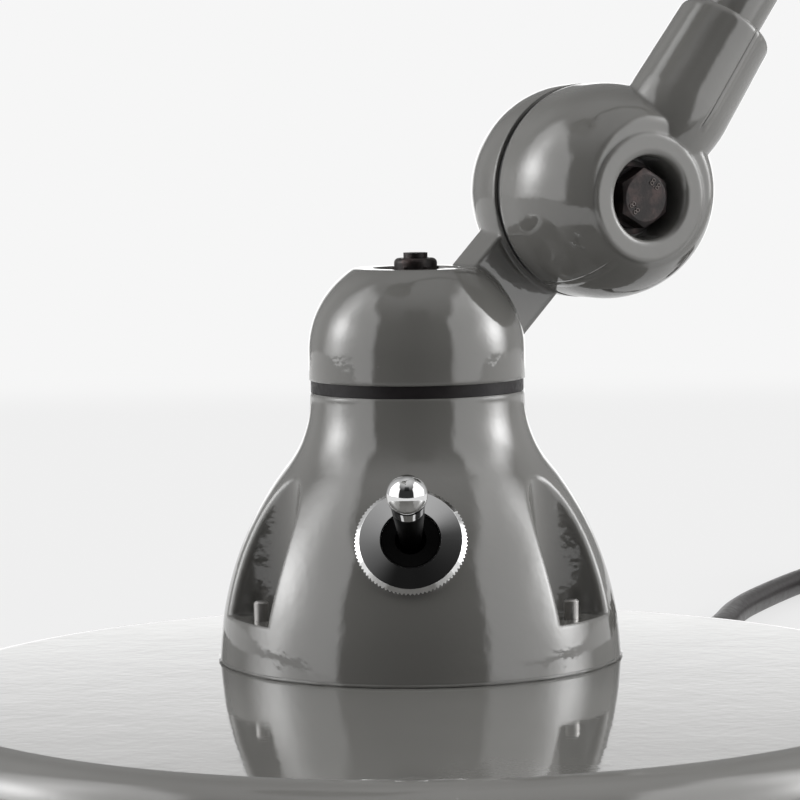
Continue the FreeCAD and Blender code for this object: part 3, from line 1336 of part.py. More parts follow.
def coil_entry():
    """The start of the coil's tube, one diameter before its first turn."""
    return coil_point(0.0) - coil_heading() * float(S.cord_radius * 2)


def coil_heading():
    """The direction in which the cord runs into the coil."""
    return way_at(0.0, 1.0)


def way_at(turns, side):
    """The direction of the coil's centre line at a turn, from one side."""
    step = 0.00001
    return (coil_point(turns + side * step) - coil_point(turns)).normalize() * side


def biarc(start, start_way, end, end_way):
    """Two tangent arcs between two points with given directions."""
    chord = end - start
    both = start_way + end_way
    flat = 2 * (1 - start_way.dot(end_way))
    slant = chord.dot(both)
    if abs(flat) < 1e-9:
        reach = chord.dot(chord) / (4 * chord.dot(end_way))
    else:
        reach = (-slant + math.sqrt(slant ** 2 + flat * chord.dot(chord))) / flat
    first = start + start_way * reach
    second = end - end_way * reach
    meet = (first + second) / 2
    way = (second - first).normalize()
    arcs = []
    for a, a_way, b, b_way in ((start, start_way, meet, way), (meet, way, end, end_way)):
        corner = a + a_way * (b - a).dot(b - a) / (2 * (b - a).dot(a_way))
        middle_way = ((a - corner).normalize() + (b - corner).normalize())
        if middle_way.Length < 1e-7:
            arcs.append(Part.LineSegment(a, b).toShape())
            continue
        middle_way.normalize()
        half = a_way.getAngle(b_way) / 2
        radius = (b - a).Length / 2 / math.sin(half)
        bulge = corner + middle_way * (radius / math.cos(half) - radius)
        arcs.append(Part.Arc(a, bulge, b).toShape())
    return arcs


def coil_path():
    """The coil's centre line as arcs, with a straight run on each side."""
    total = 2 * float(S.coil_turns) + 0.5
    steps = int(round(total * 4))
    places = [total * number / steps for number in range(steps + 1)]
    edges = [Part.LineSegment(coil_entry(), coil_point(0.0)).toShape()]
    for low, high in zip(places, places[1:]):
        edges += biarc(coil_point(low), way_at(low, 1.0), coil_point(high), way_at(high, -1.0))
    out = way_at(total, -1.0)
    last = coil_point(total)
    edges.append(Part.LineSegment(last, last + out * float(S.plug_lead)).toShape())
    return Part.Wire(edges)


def least_gap(path):
    """The least clear distance between one turn of the coil and another."""
    points = path.discretize(Distance=4.0)
    least = 1e9
    for number, first in enumerate(points):
        for second in points[number + 12:]:
            least = min(least, (first - second).Length)
    return least - 2 * float(S.cord_radius)


def plug_frame():
    """The plug's frame: origin where the cord enters it, Z towards the pins."""
    total = 2 * float(S.coil_turns) + 0.5
    out = way_at(total, -1.0)
    out = Vector(out.x, out.y, 0).normalize()
    spot = coil_point(total) + out * float(S.plug_lead)
    return frame(spot, UP.cross(out), out)


def cord_parts():
    """Strain relief, inner lead, free cord, coil, tie and plug."""
    turn = exit_turn()
    wall_out = float(S.base_radius)
    low = -(S.cover_wall + S.gland_fit + S.gland_flange_thick)
    gland = turned("gland_form", [
        (S.cord_radius, low + 10.0), (S.gland_flange, low + 10.0),
        (S.gland_flange, low + 10.0 + S.gland_flange_thick),
        (S.gland_root, low + 10.0 + S.gland_flange_thick),
        (S.gland_root, as_size(10.0)), (S.gland_flange, as_size(10.0)),
        (S.gland_flange, 10.0 + S.gland_flange_thick), (S.gland_tip, 10.0 + S.gland_long),
        (S.cord_radius, 10.0 + S.gland_long)])
    keep(gland, "cord_gland", Placement(exit_spot(wall_out - 10.0), turn))
    start = exit_spot(wall_out + float(S.gland_long))
    inner_end = exit_spot(36.0)
    rise = Vector(inner_end.x, inner_end.y, float(S.base_top) + 14.0)
    lead = rounded_path([start, inner_end, rise], float(S.cord_radius) * 4)
    keep(feature("inner_lead_tube", swept(lead, float(S.cord_radius))), "inner_lead")
    path = rounded_path([start] + tail_points()[1:])
    tube = swept(path, float(S.cord_radius))
    area = math.pi * float(S.cord_radius) ** 2
    print("tail length", round(path.Length, 1), "volume share", round(tube.Volume / area / path.Length, 4))
    keep(feature("cord_tube", tube), "cord_tail")
    path = coil_path()
    coil = swept(path, float(S.cord_radius))
    print("coil length", round(path.Length, 1), "volume share", round(coil.Volume / area / path.Length, 4),
          "least gap", round(least_gap(path), 2))
    keep(feature("coil_tube", coil), "cord_coil")
    tie_parts()
    plug_parts()


def tie_parts():
    """A band round all the turns on one side of the coil."""
    gap = float(S.tie_gap + S.cord_radius)
    inner = float(S.coil_radius) - float(S.coil_pitch * S.coil_turns)
    angle = coil_start() - 90.0
    near = inner - gap - 1.5
    far = float(S.coil_radius) + gap + 1.0
    high = COIL_LOW + float(S.coil_pitch) + gap
    wall = float(S.tie_wall)
    wide = float(S.tie_wide)
    outer = Part.makeBox(far - near + 2 * wall, wide, high + wall, Vector(near - wall, -wide / 2, 0))
    floor = float(S.tie_floor) - 0.05
    hole = Part.makeBox(far - near, wide + 2, high - floor, Vector(near, -wide / 2 - 1, floor))
    band = outer.cut(hole)
    keep(feature("tie_band", band), "cord_tie",
         Placement(coil_centre(), Rotation(UP, angle)))


def plug_parts():
    """Flat-sided two-pin plug at the cord's end."""
    place = plug_frame()
    height = COIL_LOW + float(S.coil_pitch)
    block = box("plug_block", S.plug_wide, 2 * height, S.plug_long,
                -S.plug_wide / 2, -height, S.plug_neck_long)
    soft = rounded("plug_soft", block, (1, 3, 5, 7), S.plug_round)
    neck = DOC.addObject("Part::Cone", "plug_cone")
    bind(neck, Radius1=S.plug_neck, Radius2=as_size(height - 2.0), Height=S.plug_neck_long + 1.0)
    keep(fuse("plug_whole", soft, neck), "plug_body", place)
    pin = turned("plug_pin", [
        (0.0, 0.0), (S.pin_radius, 0.0), (S.pin_radius, S.pin_long - 1.0),
        (S.pin_radius - 1.0, S.pin_long), (0.0, S.pin_long)])
    low = float(S.plug_neck_long + S.plug_long)
    half = float(S.pin_spacing) / 2
    keep(copies("plug_pin_set", pin, [place.multiply(Placement(Vector(shift, 0, low), Rotation()))
                                      for shift in (-half, half)]), "plug_pins")


def build():
    """Make every sub-part."""
    base_cover()
    base_ballast()
    ballast_nuts()
    base_pad()
    bell_housing()
    bell_screws()
    swivel_parts()
    base_knuckle()
    lower = float(S.lower_rise)
    upper = float(S.upper_rise)
    for joint in (LOWER, ELBOW, HEAD):
        contact_disc(joint)
        joint_bolt(joint)
    arm_shell("lower_arm_foot", LOWER, FRONT, lower, lower + 100.0)
    arm_shell("lower_arm_head", ELBOW, FRONT, lower + 180.0, lower + 280.0)
    arm_shell("upper_arm_foot", ELBOW, REAR, -upper)
    arm_shell("upper_arm_head", HEAD, REAR, -upper - 180.0)
    brushes("lower_brushes", LOWER, lower + 100.0)
    brushes("elbow_brushes", ELBOW, lower + 280.0)
    brushes("head_brushes", HEAD, 60.0)
    arm_parts("lower_arm", LOWER_JOINT, lower, 1.0)
    arm_parts("upper_arm", ELBOW_JOINT, upper, -1.0)
    head_knuckle()
    shade_parts()
    switch_parts()
    cord_parts()


def check_and_write():
    """Recompute, check every object and write each sub-part to its own file."""
    DOC.recompute()
    for thing in DOC.Objects:
        if "Invalid" in thing.State or "Error" in thing.State:
            raise RuntimeError(f"{thing.Name} failed: {thing.State}")
    os.makedirs("parts", exist_ok=True)
    for thing in PARTS:
        shape = thing.Shape
        if shape.isNull() or not shape.isValid() or not shape.Solids:
            raise RuntimeError(f"{thing.Label} has no sound shape")
        shape.exportStep(f"parts/{thing.Label}.step")
        print(thing.Label, "solids", len(shape.Solids), "volume", round(shape.Volume / 1000, 2))


build()
check_and_write()
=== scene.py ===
"""Looks of an articulated table lamp: gloss grey castings on a heavy round base, a chrome
toggle switch, two swing arms on friction joints, a spun shade and a coiled mains cord.

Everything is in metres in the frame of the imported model: +Z up, the origin in the middle
of the base on the table, and the photographed side facing -Y.
"""
from __future__ import annotations

import json
import logging
import math
from dataclasses import dataclass
from enum import Enum
from typing import Any

import bmesh
import bpy
from mathutils import Matrix, Vector, noise

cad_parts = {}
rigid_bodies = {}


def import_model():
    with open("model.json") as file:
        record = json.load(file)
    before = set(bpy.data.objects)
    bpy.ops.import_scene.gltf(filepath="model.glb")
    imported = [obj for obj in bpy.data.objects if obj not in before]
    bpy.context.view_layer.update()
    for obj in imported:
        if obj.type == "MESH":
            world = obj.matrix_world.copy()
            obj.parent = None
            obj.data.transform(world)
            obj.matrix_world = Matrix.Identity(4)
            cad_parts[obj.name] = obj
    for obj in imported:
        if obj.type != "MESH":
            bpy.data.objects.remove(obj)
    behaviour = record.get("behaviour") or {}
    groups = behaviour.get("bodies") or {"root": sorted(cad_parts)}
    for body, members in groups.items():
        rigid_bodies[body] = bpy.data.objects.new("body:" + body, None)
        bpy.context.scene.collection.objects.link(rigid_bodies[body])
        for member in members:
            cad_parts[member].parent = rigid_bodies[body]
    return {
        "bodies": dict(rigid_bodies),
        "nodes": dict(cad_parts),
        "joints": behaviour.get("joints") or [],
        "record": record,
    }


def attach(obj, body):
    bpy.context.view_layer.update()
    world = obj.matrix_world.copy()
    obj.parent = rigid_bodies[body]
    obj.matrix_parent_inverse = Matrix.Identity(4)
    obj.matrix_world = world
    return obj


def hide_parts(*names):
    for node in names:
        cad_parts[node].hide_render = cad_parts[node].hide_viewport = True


LOG = logging.getLogger("lamp")
MM = 0.001
SWIVEL = Vector((0.0, 38.0, 28.0)) * MM
ARM_TURN = math.radians(30.5)
PLANE_OUT = Vector((math.cos(ARM_TURN), math.sin(ARM_TURN), 0.0))
PLANE_SIDE = Vector((math.sin(ARM_TURN), -math.cos(ARM_TURN), 0.0))
BELL_TURN = math.radians(-3.0)
SWITCH_TILT = math.radians(27.5)
SWITCH_SEAT = Vector((-2.156, -3.144, 61.331)) * MM
SWITCH_OUT = Vector((math.sin(BELL_TURN) * math.cos(SWITCH_TILT),
                     -math.cos(BELL_TURN) * math.cos(SWITCH_TILT), math.sin(SWITCH_TILT)))
SHADE_TOP = Vector((-86.044, -30.093, 654.161)) * MM


class Body(Enum):
    """The bodies that carry the pieces made here."""

    BASE = "base"
    KNUCKLE = "knuckle"
    UPPER_ARM = "upper_arm"


def in_plane(degrees: float) -> Vector:
    """A direction in the arms' plane.

    Args:
        degrees: the slope, counted from the plane's outward direction.

    Returns:
        The unit vector.
    """
    angle = math.radians(degrees)
    return PLANE_OUT * math.cos(angle) + Vector((0.0, 0.0, math.sin(angle)))


class Signal:
    """A value in a node graph that takes ordinary arithmetic."""

    def __init__(self, graph: Graph, socket: bpy.types.NodeSocket) -> None:
        """Wraps one output socket of a graph."""
        self.graph = graph
        self.socket = socket

    def other(self, name: str) -> Signal:
        """Another output of the same node."""
        return Signal(self.graph, self.socket.node.outputs[name])

    def _math(self, operation: str, first: Any, second: Any = None) -> Signal:
        """Adds a Math node for one operation."""
        values = {0: first} if second is None else {0: first, 1: second}
        return self.graph.node("ShaderNodeMath", {"operation": operation}, values)

    def __add__(self, other: Signal | float) -> Signal:
        """This value plus another."""
        return self._math("ADD", self, other)

    def __sub__(self, other: Signal | float) -> Signal:
        """This value less another."""
        return self._math("SUBTRACT", self, other)

    def __rsub__(self, other: float) -> Signal:
        """A number less this value."""
        return self._math("SUBTRACT", other, self)

    def __mul__(self, other: Signal | float) -> Signal:
        """This value times another."""
        return self._math("MULTIPLY", self, other)

    def __truediv__(self, other: Signal | float) -> Signal:
        """This value divided by another."""
        return self._math("DIVIDE", self, other)

    def __pow__(self, other: float) -> Signal:
        """This value to a power."""
        return self._math("POWER", self, other)

    def size(self) -> Signal:
        """This value without its sign."""
        return self._math("ABSOLUTE", self)

    def above(self, other: float) -> Signal:
        """1 where this value is above a number, and 0 elsewhere."""
        return self._math("GREATER_THAN", self, other)

    def ease(self, low: float, high: float, start: float = 0.0, end: float = 1.0) -> Signal:
        """Runs smoothly from start to end while this value goes from low to high."""
        return self.graph.node("ShaderNodeMapRange", {"interpolation_type": "SMOOTHSTEP"},
                               {"Value": self, "From Min": low, "From Max": high,
                                "To Min": start, "To Max": end})


class Graph:
    """The node tree of a material or of the world."""

    def __init__(self, owner: bpy.types.Material | bpy.types.World) -> None:
        """Empties the owner's tree."""
        owner.use_nodes = True
        self.tree = owner.node_tree
        self.ending = ("ShaderNodeOutputWorld" if isinstance(owner, bpy.types.World)
                       else "ShaderNodeOutputMaterial")
        self.tree.nodes.clear()
        self.places: Signal | None = None

    def node(self, kind: str, settings: dict[str, Any] | None = None,
             values: dict[str | int, Any] | None = None, output: str | int = 0) -> Signal:
        """Adds a node.

        Args:
            kind: the node's type.
            settings: its own properties, or "stops" for the stops of a ramp.
            values: numbers, colours or signals for its sockets.
            output: which of its outputs is wanted.

        Returns:
            That output.
        """
        made = self.tree.nodes.new(kind)
        for key, value in (settings or {}).items():
            if key == "stops":
                self._stops(made.color_ramp, value)
            else:
                setattr(made, key, value)
        for key, value in (values or {}).items():
            if isinstance(value, Signal):
                self.tree.links.new(value.socket, made.inputs[key])
            else:
                made.inputs[key].default_value = value
        return Signal(self, made.outputs[output]) if made.outputs else Signal(self, None)

    @staticmethod
    def _stops(ramp: bpy.types.ColorRamp, stops: list[tuple[float, tuple]]) -> None:
        """Sets a ramp's stops, each a place and a colour."""
        while len(ramp.elements) < len(stops):
            ramp.elements.new(0.5)
        for element, (place, colour) in zip(ramp.elements, stops):
            element.position = place
            element.color = colour

    def place(self) -> Signal:
        """The point on the object, in its own coordinates."""
        if self.places is None:
            self.places = self.node("ShaderNodeTexCoord", output="Object")
        return self.places

    def noise(self, scale: float, detail: float = 2.0, rough: float = 0.5,
              at: Signal | None = None) -> Signal:
        """Soft noise from 0 to 1.

        Args:
            scale: waves in a metre.
            detail: how many finer layers it has.
            rough: how strong they are.
            at: where to read it, or None for the point on the object.

        Returns:
            The noise.
        """
        return self.node("ShaderNodeTexNoise", None,
                         {"Vector": at or self.place(), "Scale": scale, "Detail": detail,
                          "Roughness": rough})

    def specks(self, scale: float, size: float) -> Signal:
        """Small round specks, 1 in their middle.

        Args:
            scale: cells in a metre.
            size: a speck's radius as a part of its cell.

        Returns:
            Their strength.
        """
        far = self.node("ShaderNodeTexVoronoi", None,
                        {"Vector": self.place(), "Scale": scale, "Randomness": 1.0})
        return far.ease(size, 0.0)

    def _counted_from(self, point: Vector) -> Signal:
        """The point on the object, counted from another point."""
        return self.node("ShaderNodeVectorMath", {"operation": "SUBTRACT"},
                         {0: self.place(), 1: tuple(point)})

    def off_plane(self, point: Vector, normal: Vector) -> Signal:
        """Distance in metres from a plane, with its sign."""
        return self.node("ShaderNodeVectorMath", {"operation": "DOT_PRODUCT"},
                         {0: self._counted_from(point), 1: tuple(normal)}, "Value")

    def from_axis(self, point: Vector, axis: Vector) -> Signal:
        """Distance in metres from a line."""
        crossed = self.node("ShaderNodeVectorMath", {"operation": "CROSS_PRODUCT"},
                            {0: self._counted_from(point), 1: tuple(axis)})
        return self.node("ShaderNodeVectorMath", {"operation": "LENGTH"}, {0: crossed}, "Value")

    def from_point(self, point: Vector) -> Signal:
        """Distance in metres from a point."""
        return self.node("ShaderNodeVectorMath", {"operation": "LENGTH"},
                         {0: self._counted_from(point)}, "Value")

    def blend(self, share: Signal | float, first: Any, second: Any) -> Signal:
        """Mixes two colours.

        Args:
            share: how much of the second, from 0 to 1.
            first: a colour or a signal.
            second: a colour or a signal.

        Returns:
            The mixed colour.
        """
        tint = [value if isinstance(value, Signal) else (*value, 1.0)
                for value in (first, second)]
        return self.node("ShaderNodeMix", {"data_type": "RGBA"},
                         {"Factor": share, 6: tint[0], 7: tint[1]}, 2)

    def bump(self, height: Signal, depth: float, under: Signal | None = None) -> Signal:
        """A normal from a height.

        Args:
            height: the height from 0 to 1.
            depth: what 1 stands for, in metres.
            under: the normal that it starts from.

        Returns:
            The normal.
        """
        values: dict[str | int, Any] = {"Height": height, "Strength": 1.0, "Distance": depth}
        if under is not None:
            values["Normal"] = under
        return self.node("ShaderNodeBump", None, values, "Normal")

    def soft_edge(self, radius: float) -> Signal:
        """A normal that rounds the edges by a radius in metres."""
        return self.node("ShaderNodeBevel", {"samples": 6}, {"Radius": radius})

    def surface(self, **values: Any) -> Signal:
        """Ends the tree in a Principled shader with these sockets set."""
        named = {key.replace("_", " ").title().replace("Ior", "IOR"): value
                 for key, value in values.items()}
        shader = self.node("ShaderNodeBsdfPrincipled", None, named)
        self.end(shader)
        return shader

    def end(self, shader: Signal) -> None:
        """Links a shader to the tree's output."""
        self.node(self.ending, None, {"Surface": shader})


@dataclass(frozen=True)
class Finish:
    """A surface finish."""

    name: str

    def dress(self, graph: Graph) -> None:
        """Builds the finish's nodes."""
        raise NotImplementedError

    def material(self) -> bpy.types.Material:
        """The finish's material, made once."""
        found = bpy.data.materials.get(self.name)
        if found is None:
            found = bpy.data.materials.new(self.name)
            self.dress(Graph(found))
        return found


@dataclass(frozen=True)
class Seam:
    """The parting line of a casting, which stops short of its bolt's flat ring."""

    point: tuple[float, float, float]
    normal: tuple[float, float, float]
    bolt: tuple[float, float, float]
    start: float = 19.5 * MM
    wide: float = 1.3 * MM
    proud: float = 0.16 * MM

    def height(self, graph: Graph) -> Signal:
        """The filed ridge and the fine groove beside it."""
        off = graph.off_plane(Vector(self.point), Vector(self.normal))
        ridge = off.size().ease(self.wide, 0.0) * self.proud
        groove = (off + self.wide).size().ease(0.4 * MM, 0.0) * (self.proud * 0.9)
        clear = graph.from_axis(Vector(self.bolt), PLANE_SIDE).ease(self.start,
                                                                    self.start + 2.0 * MM)
        return (ridge - groove) * clear


@dataclass(frozen=True)
class GlossPaint(Finish):
    """Thick gloss paint over a casting: waves, orange peel, dust and a parting line."""

    colour: tuple[float, float, float] = (0.158, 0.155, 0.146)
    waves: float = 0.00024
    peel: float = 0.000022
    dusty: float = 1.0
    round: float = 0.0014
    seam: Seam | None = None

    def height(self, graph: Graph) -> Signal:
        """The relief of the painted skin, in metres."""
        broad = graph.noise(34.0, 2.0)
        cast = graph.noise(105.0, 3.0, 0.6)
        peel = graph.noise(380.0, 2.0, 0.4)
        fine = graph.noise(1100.0, 2.0)
        return (broad * self.waves + cast * (self.waves * 0.42) + peel * self.peel
                + fine * (self.peel * 0.15))

    def dress(self, graph: Graph) -> None:
        """Builds the paint."""
        dust = graph.specks(64.0, 0.032)
        height = self.height(graph) + dust * (0.00006 * self.dusty)
        if self.seam is not None:
            height = height + self.seam.height(graph)
        normal = graph.bump(height, 1.0, graph.soft_edge(self.round))
        shade = graph.noise(18.0, 3.0).ease(0.3, 0.7)
        tint = graph.blend(shade, [part * 0.95 for part in self.colour],
                           [part * 1.05 for part in self.colour])
        tint = graph.blend(dust * (0.6 * self.dusty), tint, (0.5, 0.49, 0.47))
        rough = graph.noise(90.0, 3.0).ease(0.25, 0.8, 0.025, 0.075)
        self.finish(graph, tint, rough, normal)

    def finish(self, graph: Graph, tint: Signal, rough: Signal, normal: Signal) -> None:
        """Ends the paint in its shader."""
        graph.surface(base_color=tint, roughness=rough, normal=normal, ior=1.5,
                      specular_ior_level=1.0)


@dataclass(frozen=True)
class ShadePaint(GlossPaint):
    """Grey gloss outside the shade and white stoving enamel inside it."""

    enamel: tuple[float, float, float] = (0.78, 0.78, 0.76)
    slope: float = 70.0
    arc_reach: float = -19.97 * MM
    arc_deep: float = 98.68 * MM
    arc_radius: float = 111.4 * MM
    curve_deep: float = 96.0 * MM
    lip_reach: float = 91.4 * MM
    lip_slope: float = 2.5 / 14.0
    sheet: float = 1.2 * MM

    def inside(self, graph: Graph) -> Signal:
        """1 on the inner side of the shade's sheet, and 0 outside."""
        aim = -in_plane(self.slope)
        deep = graph.off_plane(SHADE_TOP, aim)
        reach = graph.from_axis(SHADE_TOP, aim)
        bowl = ((reach - self.arc_reach) ** 2.0 + (deep - self.arc_deep) ** 2.0) ** 0.5
        lip = (deep - self.curve_deep) * self.lip_slope + self.lip_reach
        on_lip = deep.above(self.curve_deep)
        in_bowl = 1.0 - bowl.above(self.arc_radius)
        in_lip = 1.0 - (reach - lip).above(0.0)
        return (in_bowl * (1.0 - on_lip) + in_lip * on_lip) * deep.above(self.sheet / 2.0)

    def finish(self, graph: Graph, tint: Signal, rough: Signal, normal: Signal) -> None:
        """Ends the paint in its shader, with the enamel inside."""
        inside = self.inside(graph)
        graph.surface(base_color=graph.blend(inside, tint, self.enamel),
                      roughness=rough + inside * 0.25, normal=normal, ior=1.5,
                      specular_ior_level=1.0)


@dataclass(frozen=True)
class Metal(Finish):
    """A bare or plated metal with fine marks."""

    colour: tuple[float, float, float] = (0.6, 0.6, 0.6)
    low: float = 0.2
    high: float = 0.4
    grain: float = 0.00001
    scale: float = 900.0
    round: float = 0.0002
    cloudy: float = 0.86

    def skin(self, graph: Graph) -> tuple[Signal, Signal, Signal]:
        """The metal's colour, its roughness and its normal."""
        marks = graph.noise(self.scale, 3.0, 0.6)
        cloud = graph.noise(self.scale * 0.12, 2.0)
        tint = graph.blend(cloud.ease(0.3, 0.75), [part * self.cloudy for part in self.colour],
                           self.colour)
        rough = marks.ease(0.25, 0.75, self.low, self.high)
        return tint, rough, graph.bump(marks, self.grain, graph.soft_edge(self.round))

    def dress(self, graph: Graph) -> None:
        """Builds the metal."""
        tint, rough, normal = self.skin(graph)
        graph.surface(base_color=tint, metallic=1.0, roughness=rough, normal=normal)


@dataclass(frozen=True)
class Plating(Metal):
    """Bright plating, painted black as painted shade inside a mouth or along the foot of a lever.
    """

    cloudy: float = 0.9
    shade_along_axis: bool = True
    shade_within: float = 7.1 * MM
    # Colour of the painted shade laid over the plating.
    shade_colour: tuple[float, float, float] = (0.002, 0.002, 0.002)

    def dress(self, graph: Graph) -> None:
        """Builds the plating and the painted shade within it."""
        far = (graph.from_axis(SWITCH_SEAT, SWITCH_OUT) if self.shade_along_axis
               else graph.from_point(SWITCH_SEAT))
        # Painted shade: black within this reach of the switch's seat, where the mouth and the
        # lever's foot lie in shade.
        painted_shade = far.ease(self.shade_within, self.shade_within - 0.1 * MM)
        bright, rough, normal = self.skin(graph)
        graph.surface(base_color=graph.blend(painted_shade, bright, self.shade_colour), metallic=1.0,
                      roughness=rough + painted_shade * 0.5, normal=normal)


@dataclass(frozen=True)
class BlackOxide(Finish):
    """Blackened steel, oily and a little brown where it is worn."""

    def dress(self, graph: Graph) -> None:
        """Builds the blackened steel."""
        worn = graph.noise(260.0, 4.0, 0.65)
        pit = graph.noise(1500.0, 2.0)
        tint = graph.blend(worn.ease(0.42, 0.72), (0.012, 0.009, 0.009), (0.062, 0.046, 0.044))
        normal = graph.bump(worn * 0.00006 + pit * 0.000025, 1.0, graph.soft_edge(0.0004))
        graph.surface(base_color=tint, metallic=worn.ease(0.4, 0.8, 0.35, 0.85),
                      roughness=worn.ease(0.3, 0.7, 0.5, 0.3), normal=normal)


@dataclass(frozen=True)
class Moulded(Finish):
    """Moulded rubber, plastic or pressed board."""

    colour: tuple[float, float, float] = (0.02, 0.02, 0.02)
    low: float = 0.4
    high: float = 0.6
    grain: float = 0.00002
    scale: float = 700.0
    round: float = 0.0003
    shine: float = 0.5

    def dress(self, graph: Graph) -> None:
        """Builds the moulded surface."""
        grain = graph.noise(self.scale, 3.0, 0.6)
        cloud = graph.noise(60.0, 2.0)
        tint = graph.blend(cloud.ease(0.3, 0.7), [part * 0.8 for part in self.colour],
                           [part * 1.15 for part in self.colour])
        rough = grain.ease(0.3, 0.7, self.low, self.high)
        graph.surface(base_color=tint, roughness=rough, specular_ior_level=self.shine,
                      normal=graph.bump(grain, self.grain, graph.soft_edge(self.round)))


@dataclass(frozen=True)
class SandCast(Finish):
    """Rough cast iron under thin black primer."""

    def dress(self, graph: Graph) -> None:
        """Builds the cast iron."""
        sand = graph.noise(900.0, 4.0, 0.7)
        rust = graph.noise(45.0, 4.0, 0.6)
        tint = graph.blend(rust.ease(0.55, 0.75), (0.018, 0.018, 0.019), (0.085, 0.045, 0.028))
        graph.surface(base_color=tint, metallic=0.35, roughness=sand.ease(0.2, 0.8, 0.55, 0.8),
                      normal=graph.bump(sand, 0.00025, graph.soft_edge(0.0008)))


@dataclass(frozen=True)
class Glaze(Finish):
    """Glazed porcelain."""

    def dress(self, graph: Graph) -> None:
        """Builds the porcelain."""
        cloud = graph.noise(80.0, 2.0)
        tint = graph.blend(cloud.ease(0.3, 0.7), (0.74, 0.72, 0.66), (0.80, 0.79, 0.75))
        graph.surface(base_color=tint, roughness=cloud.ease(0.2, 0.8, 0.12, 0.2),
                      normal=graph.bump(cloud, 0.00008, graph.soft_edge(0.0006)),
                      coat_weight=0.6, coat_roughness=0.04)


@dataclass(frozen=True)
class FrostedGlass(Finish):
    """The bulb's softly frosted glass."""

    def dress(self, graph: Graph) -> None:
        """Builds the frosted glass."""
        frost = graph.noise(600.0, 2.0)
        graph.surface(base_color=(0.93, 0.93, 0.91, 1.0), ior=1.45, transmission_weight=0.55,
                      roughness=frost.ease(0.3, 0.7, 0.3, 0.42),
                      normal=graph.bump(frost, 0.00001))


@dataclass(frozen=True)
class Sheath(Finish):
    """The cord's round rubber sheath, slightly uneven along its length."""

    def dress(self, graph: Graph) -> None:
        """Builds the sheath."""
        skin = graph.noise(500.0, 3.0, 0.6)
        dents = graph.noise(70.0, 2.0)
        tint = graph.blend(skin.ease(0.35, 0.7), (0.030, 0.027, 0.027), (0.048, 0.043, 0.043))
        graph.surface(base_color=tint, roughness=skin.ease(0.3, 0.7, 0.34, 0.46),
                      normal=graph.bump(dents * 0.0002 + skin * 0.00002, 1.0))


def parted_paint(name: str, joint: Vector, degrees: float) -> GlossPaint:
    """Paint over a casting whose parting line runs along its arm.

    Args:
        name: the finish's name.
        joint: the middle of the casting's round shell.
        degrees: the slope of its arm.

    Returns:
        The finish.
    """
    across = in_plane(degrees - 90.0)
    line = joint + across * (2.4 * MM)
    return GlossPaint(name, seam=Seam(tuple(line), tuple(across), tuple(joint)))


ARM_LENGTH = 0.4
LOWER_SLOPE = 53.7
UPPER_SLOPE = 145.0
LOWER = Vector((43.786, 55.088, 143.2)) * MM
ELBOW = LOWER + in_plane(LOWER_SLOPE) * ARM_LENGTH
HEAD = ELBOW + in_plane(UPPER_SLOPE) * ARM_LENGTH

PAINT = GlossPaint("gloss_grey_paint")
SPUN_PAINT = GlossPaint("gloss_grey_on_sheet", waves=0.00004, peel=0.000012, dusty=0.5)
# Paler grey than the castings' paint: partly the plate's own tone, partly painted light from above
# on its flat top.
LIGHTENED_PLATE_PAINT = GlossPaint("gloss_grey_lightened_on_base", colour=(0.205, 0.202, 0.192), waves=0.00004,
                         peel=0.000010, dusty=0.8)
SHADE_PAINT = ShadePaint("gloss_grey_and_enamel", waves=0.00004, peel=0.000012, dusty=0.3)
BLACKENED = BlackOxide("blackened_steel")
ZINC = Metal("zinc_plate", colour=(0.42, 0.41, 0.40), low=0.3, high=0.5, grain=0.00002)
CHROME = Metal("polished_chrome", colour=(0.86, 0.86, 0.86), low=0.02, high=0.06,
               grain=0.000002, scale=500.0, round=0.00015)
# Chrome nut with painted shade: its mouth is painted black.
NUT_CHROME = Plating("chrome_with_painted_shade_mouth", colour=(0.86, 0.86, 0.86), low=0.02,
                     high=0.05, grain=0.000002, scale=500.0, round=0.00015)
# Chrome lever with painted shade: its foot is painted black.
LEVER_CHROME = Plating("chrome_with_painted_shade_foot", colour=(0.86, 0.86, 0.86), low=0.02,
                       high=0.05, grain=0.000002, scale=500.0, round=0.00015,
                       shade_along_axis=False, shade_within=16.4 * MM)
BRASS = Metal("brass", colour=(0.72, 0.50, 0.22), low=0.25, high=0.4)
IRON = SandCast("cast_iron")
FOAM = Moulded("pad_rubber", colour=(0.022, 0.022, 0.022), low=0.7, high=0.85,
               grain=0.0001, scale=1200.0)
GASKET = Moulded("gasket_rubber", colour=(0.010, 0.008, 0.009), low=0.3, high=0.5,
                 grain=0.00004, shine=0.22)
BOARD = Moulded("pressed_board", colour=(0.012, 0.012, 0.012), low=0.35, high=0.5)
# A dead black disc in the switch nut's mouth: painted shade.
MOUTH_SHADE_DISC = Moulded("painted_shade_black_disc", colour=(0.002, 0.002, 0.002), low=0.6, high=0.8, shine=0.05)
WORN = Metal("worn_steel", colour=(0.12, 0.105, 0.10), low=0.3, high=0.5, grain=0.00004)
MOULDING = Moulded("dark_moulding", colour=(0.014, 0.013, 0.013), low=0.3, high=0.42,
                   grain=0.00001)
PORCELAIN = Glaze("porcelain")
FROSTED = FrostedGlass("frosted_glass")
SHEATH = Sheath("cord_sheath")


class Nodes:
    """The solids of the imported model, which take finishes."""

    def __init__(self, frame: dict[str, Any]) -> None:
        """Keeps the loaded solids."""
        self.solids = frame["nodes"]

    def dress(self, finish: Finish, *names: str) -> None:
        """Gives a finish to solids.

        Args:
            finish: the finish.
            names: the solids' names.
        """
        for name in names:
            mesh = self.solids[name].data
            mesh.materials.clear()
            mesh.materials.append(finish.material())


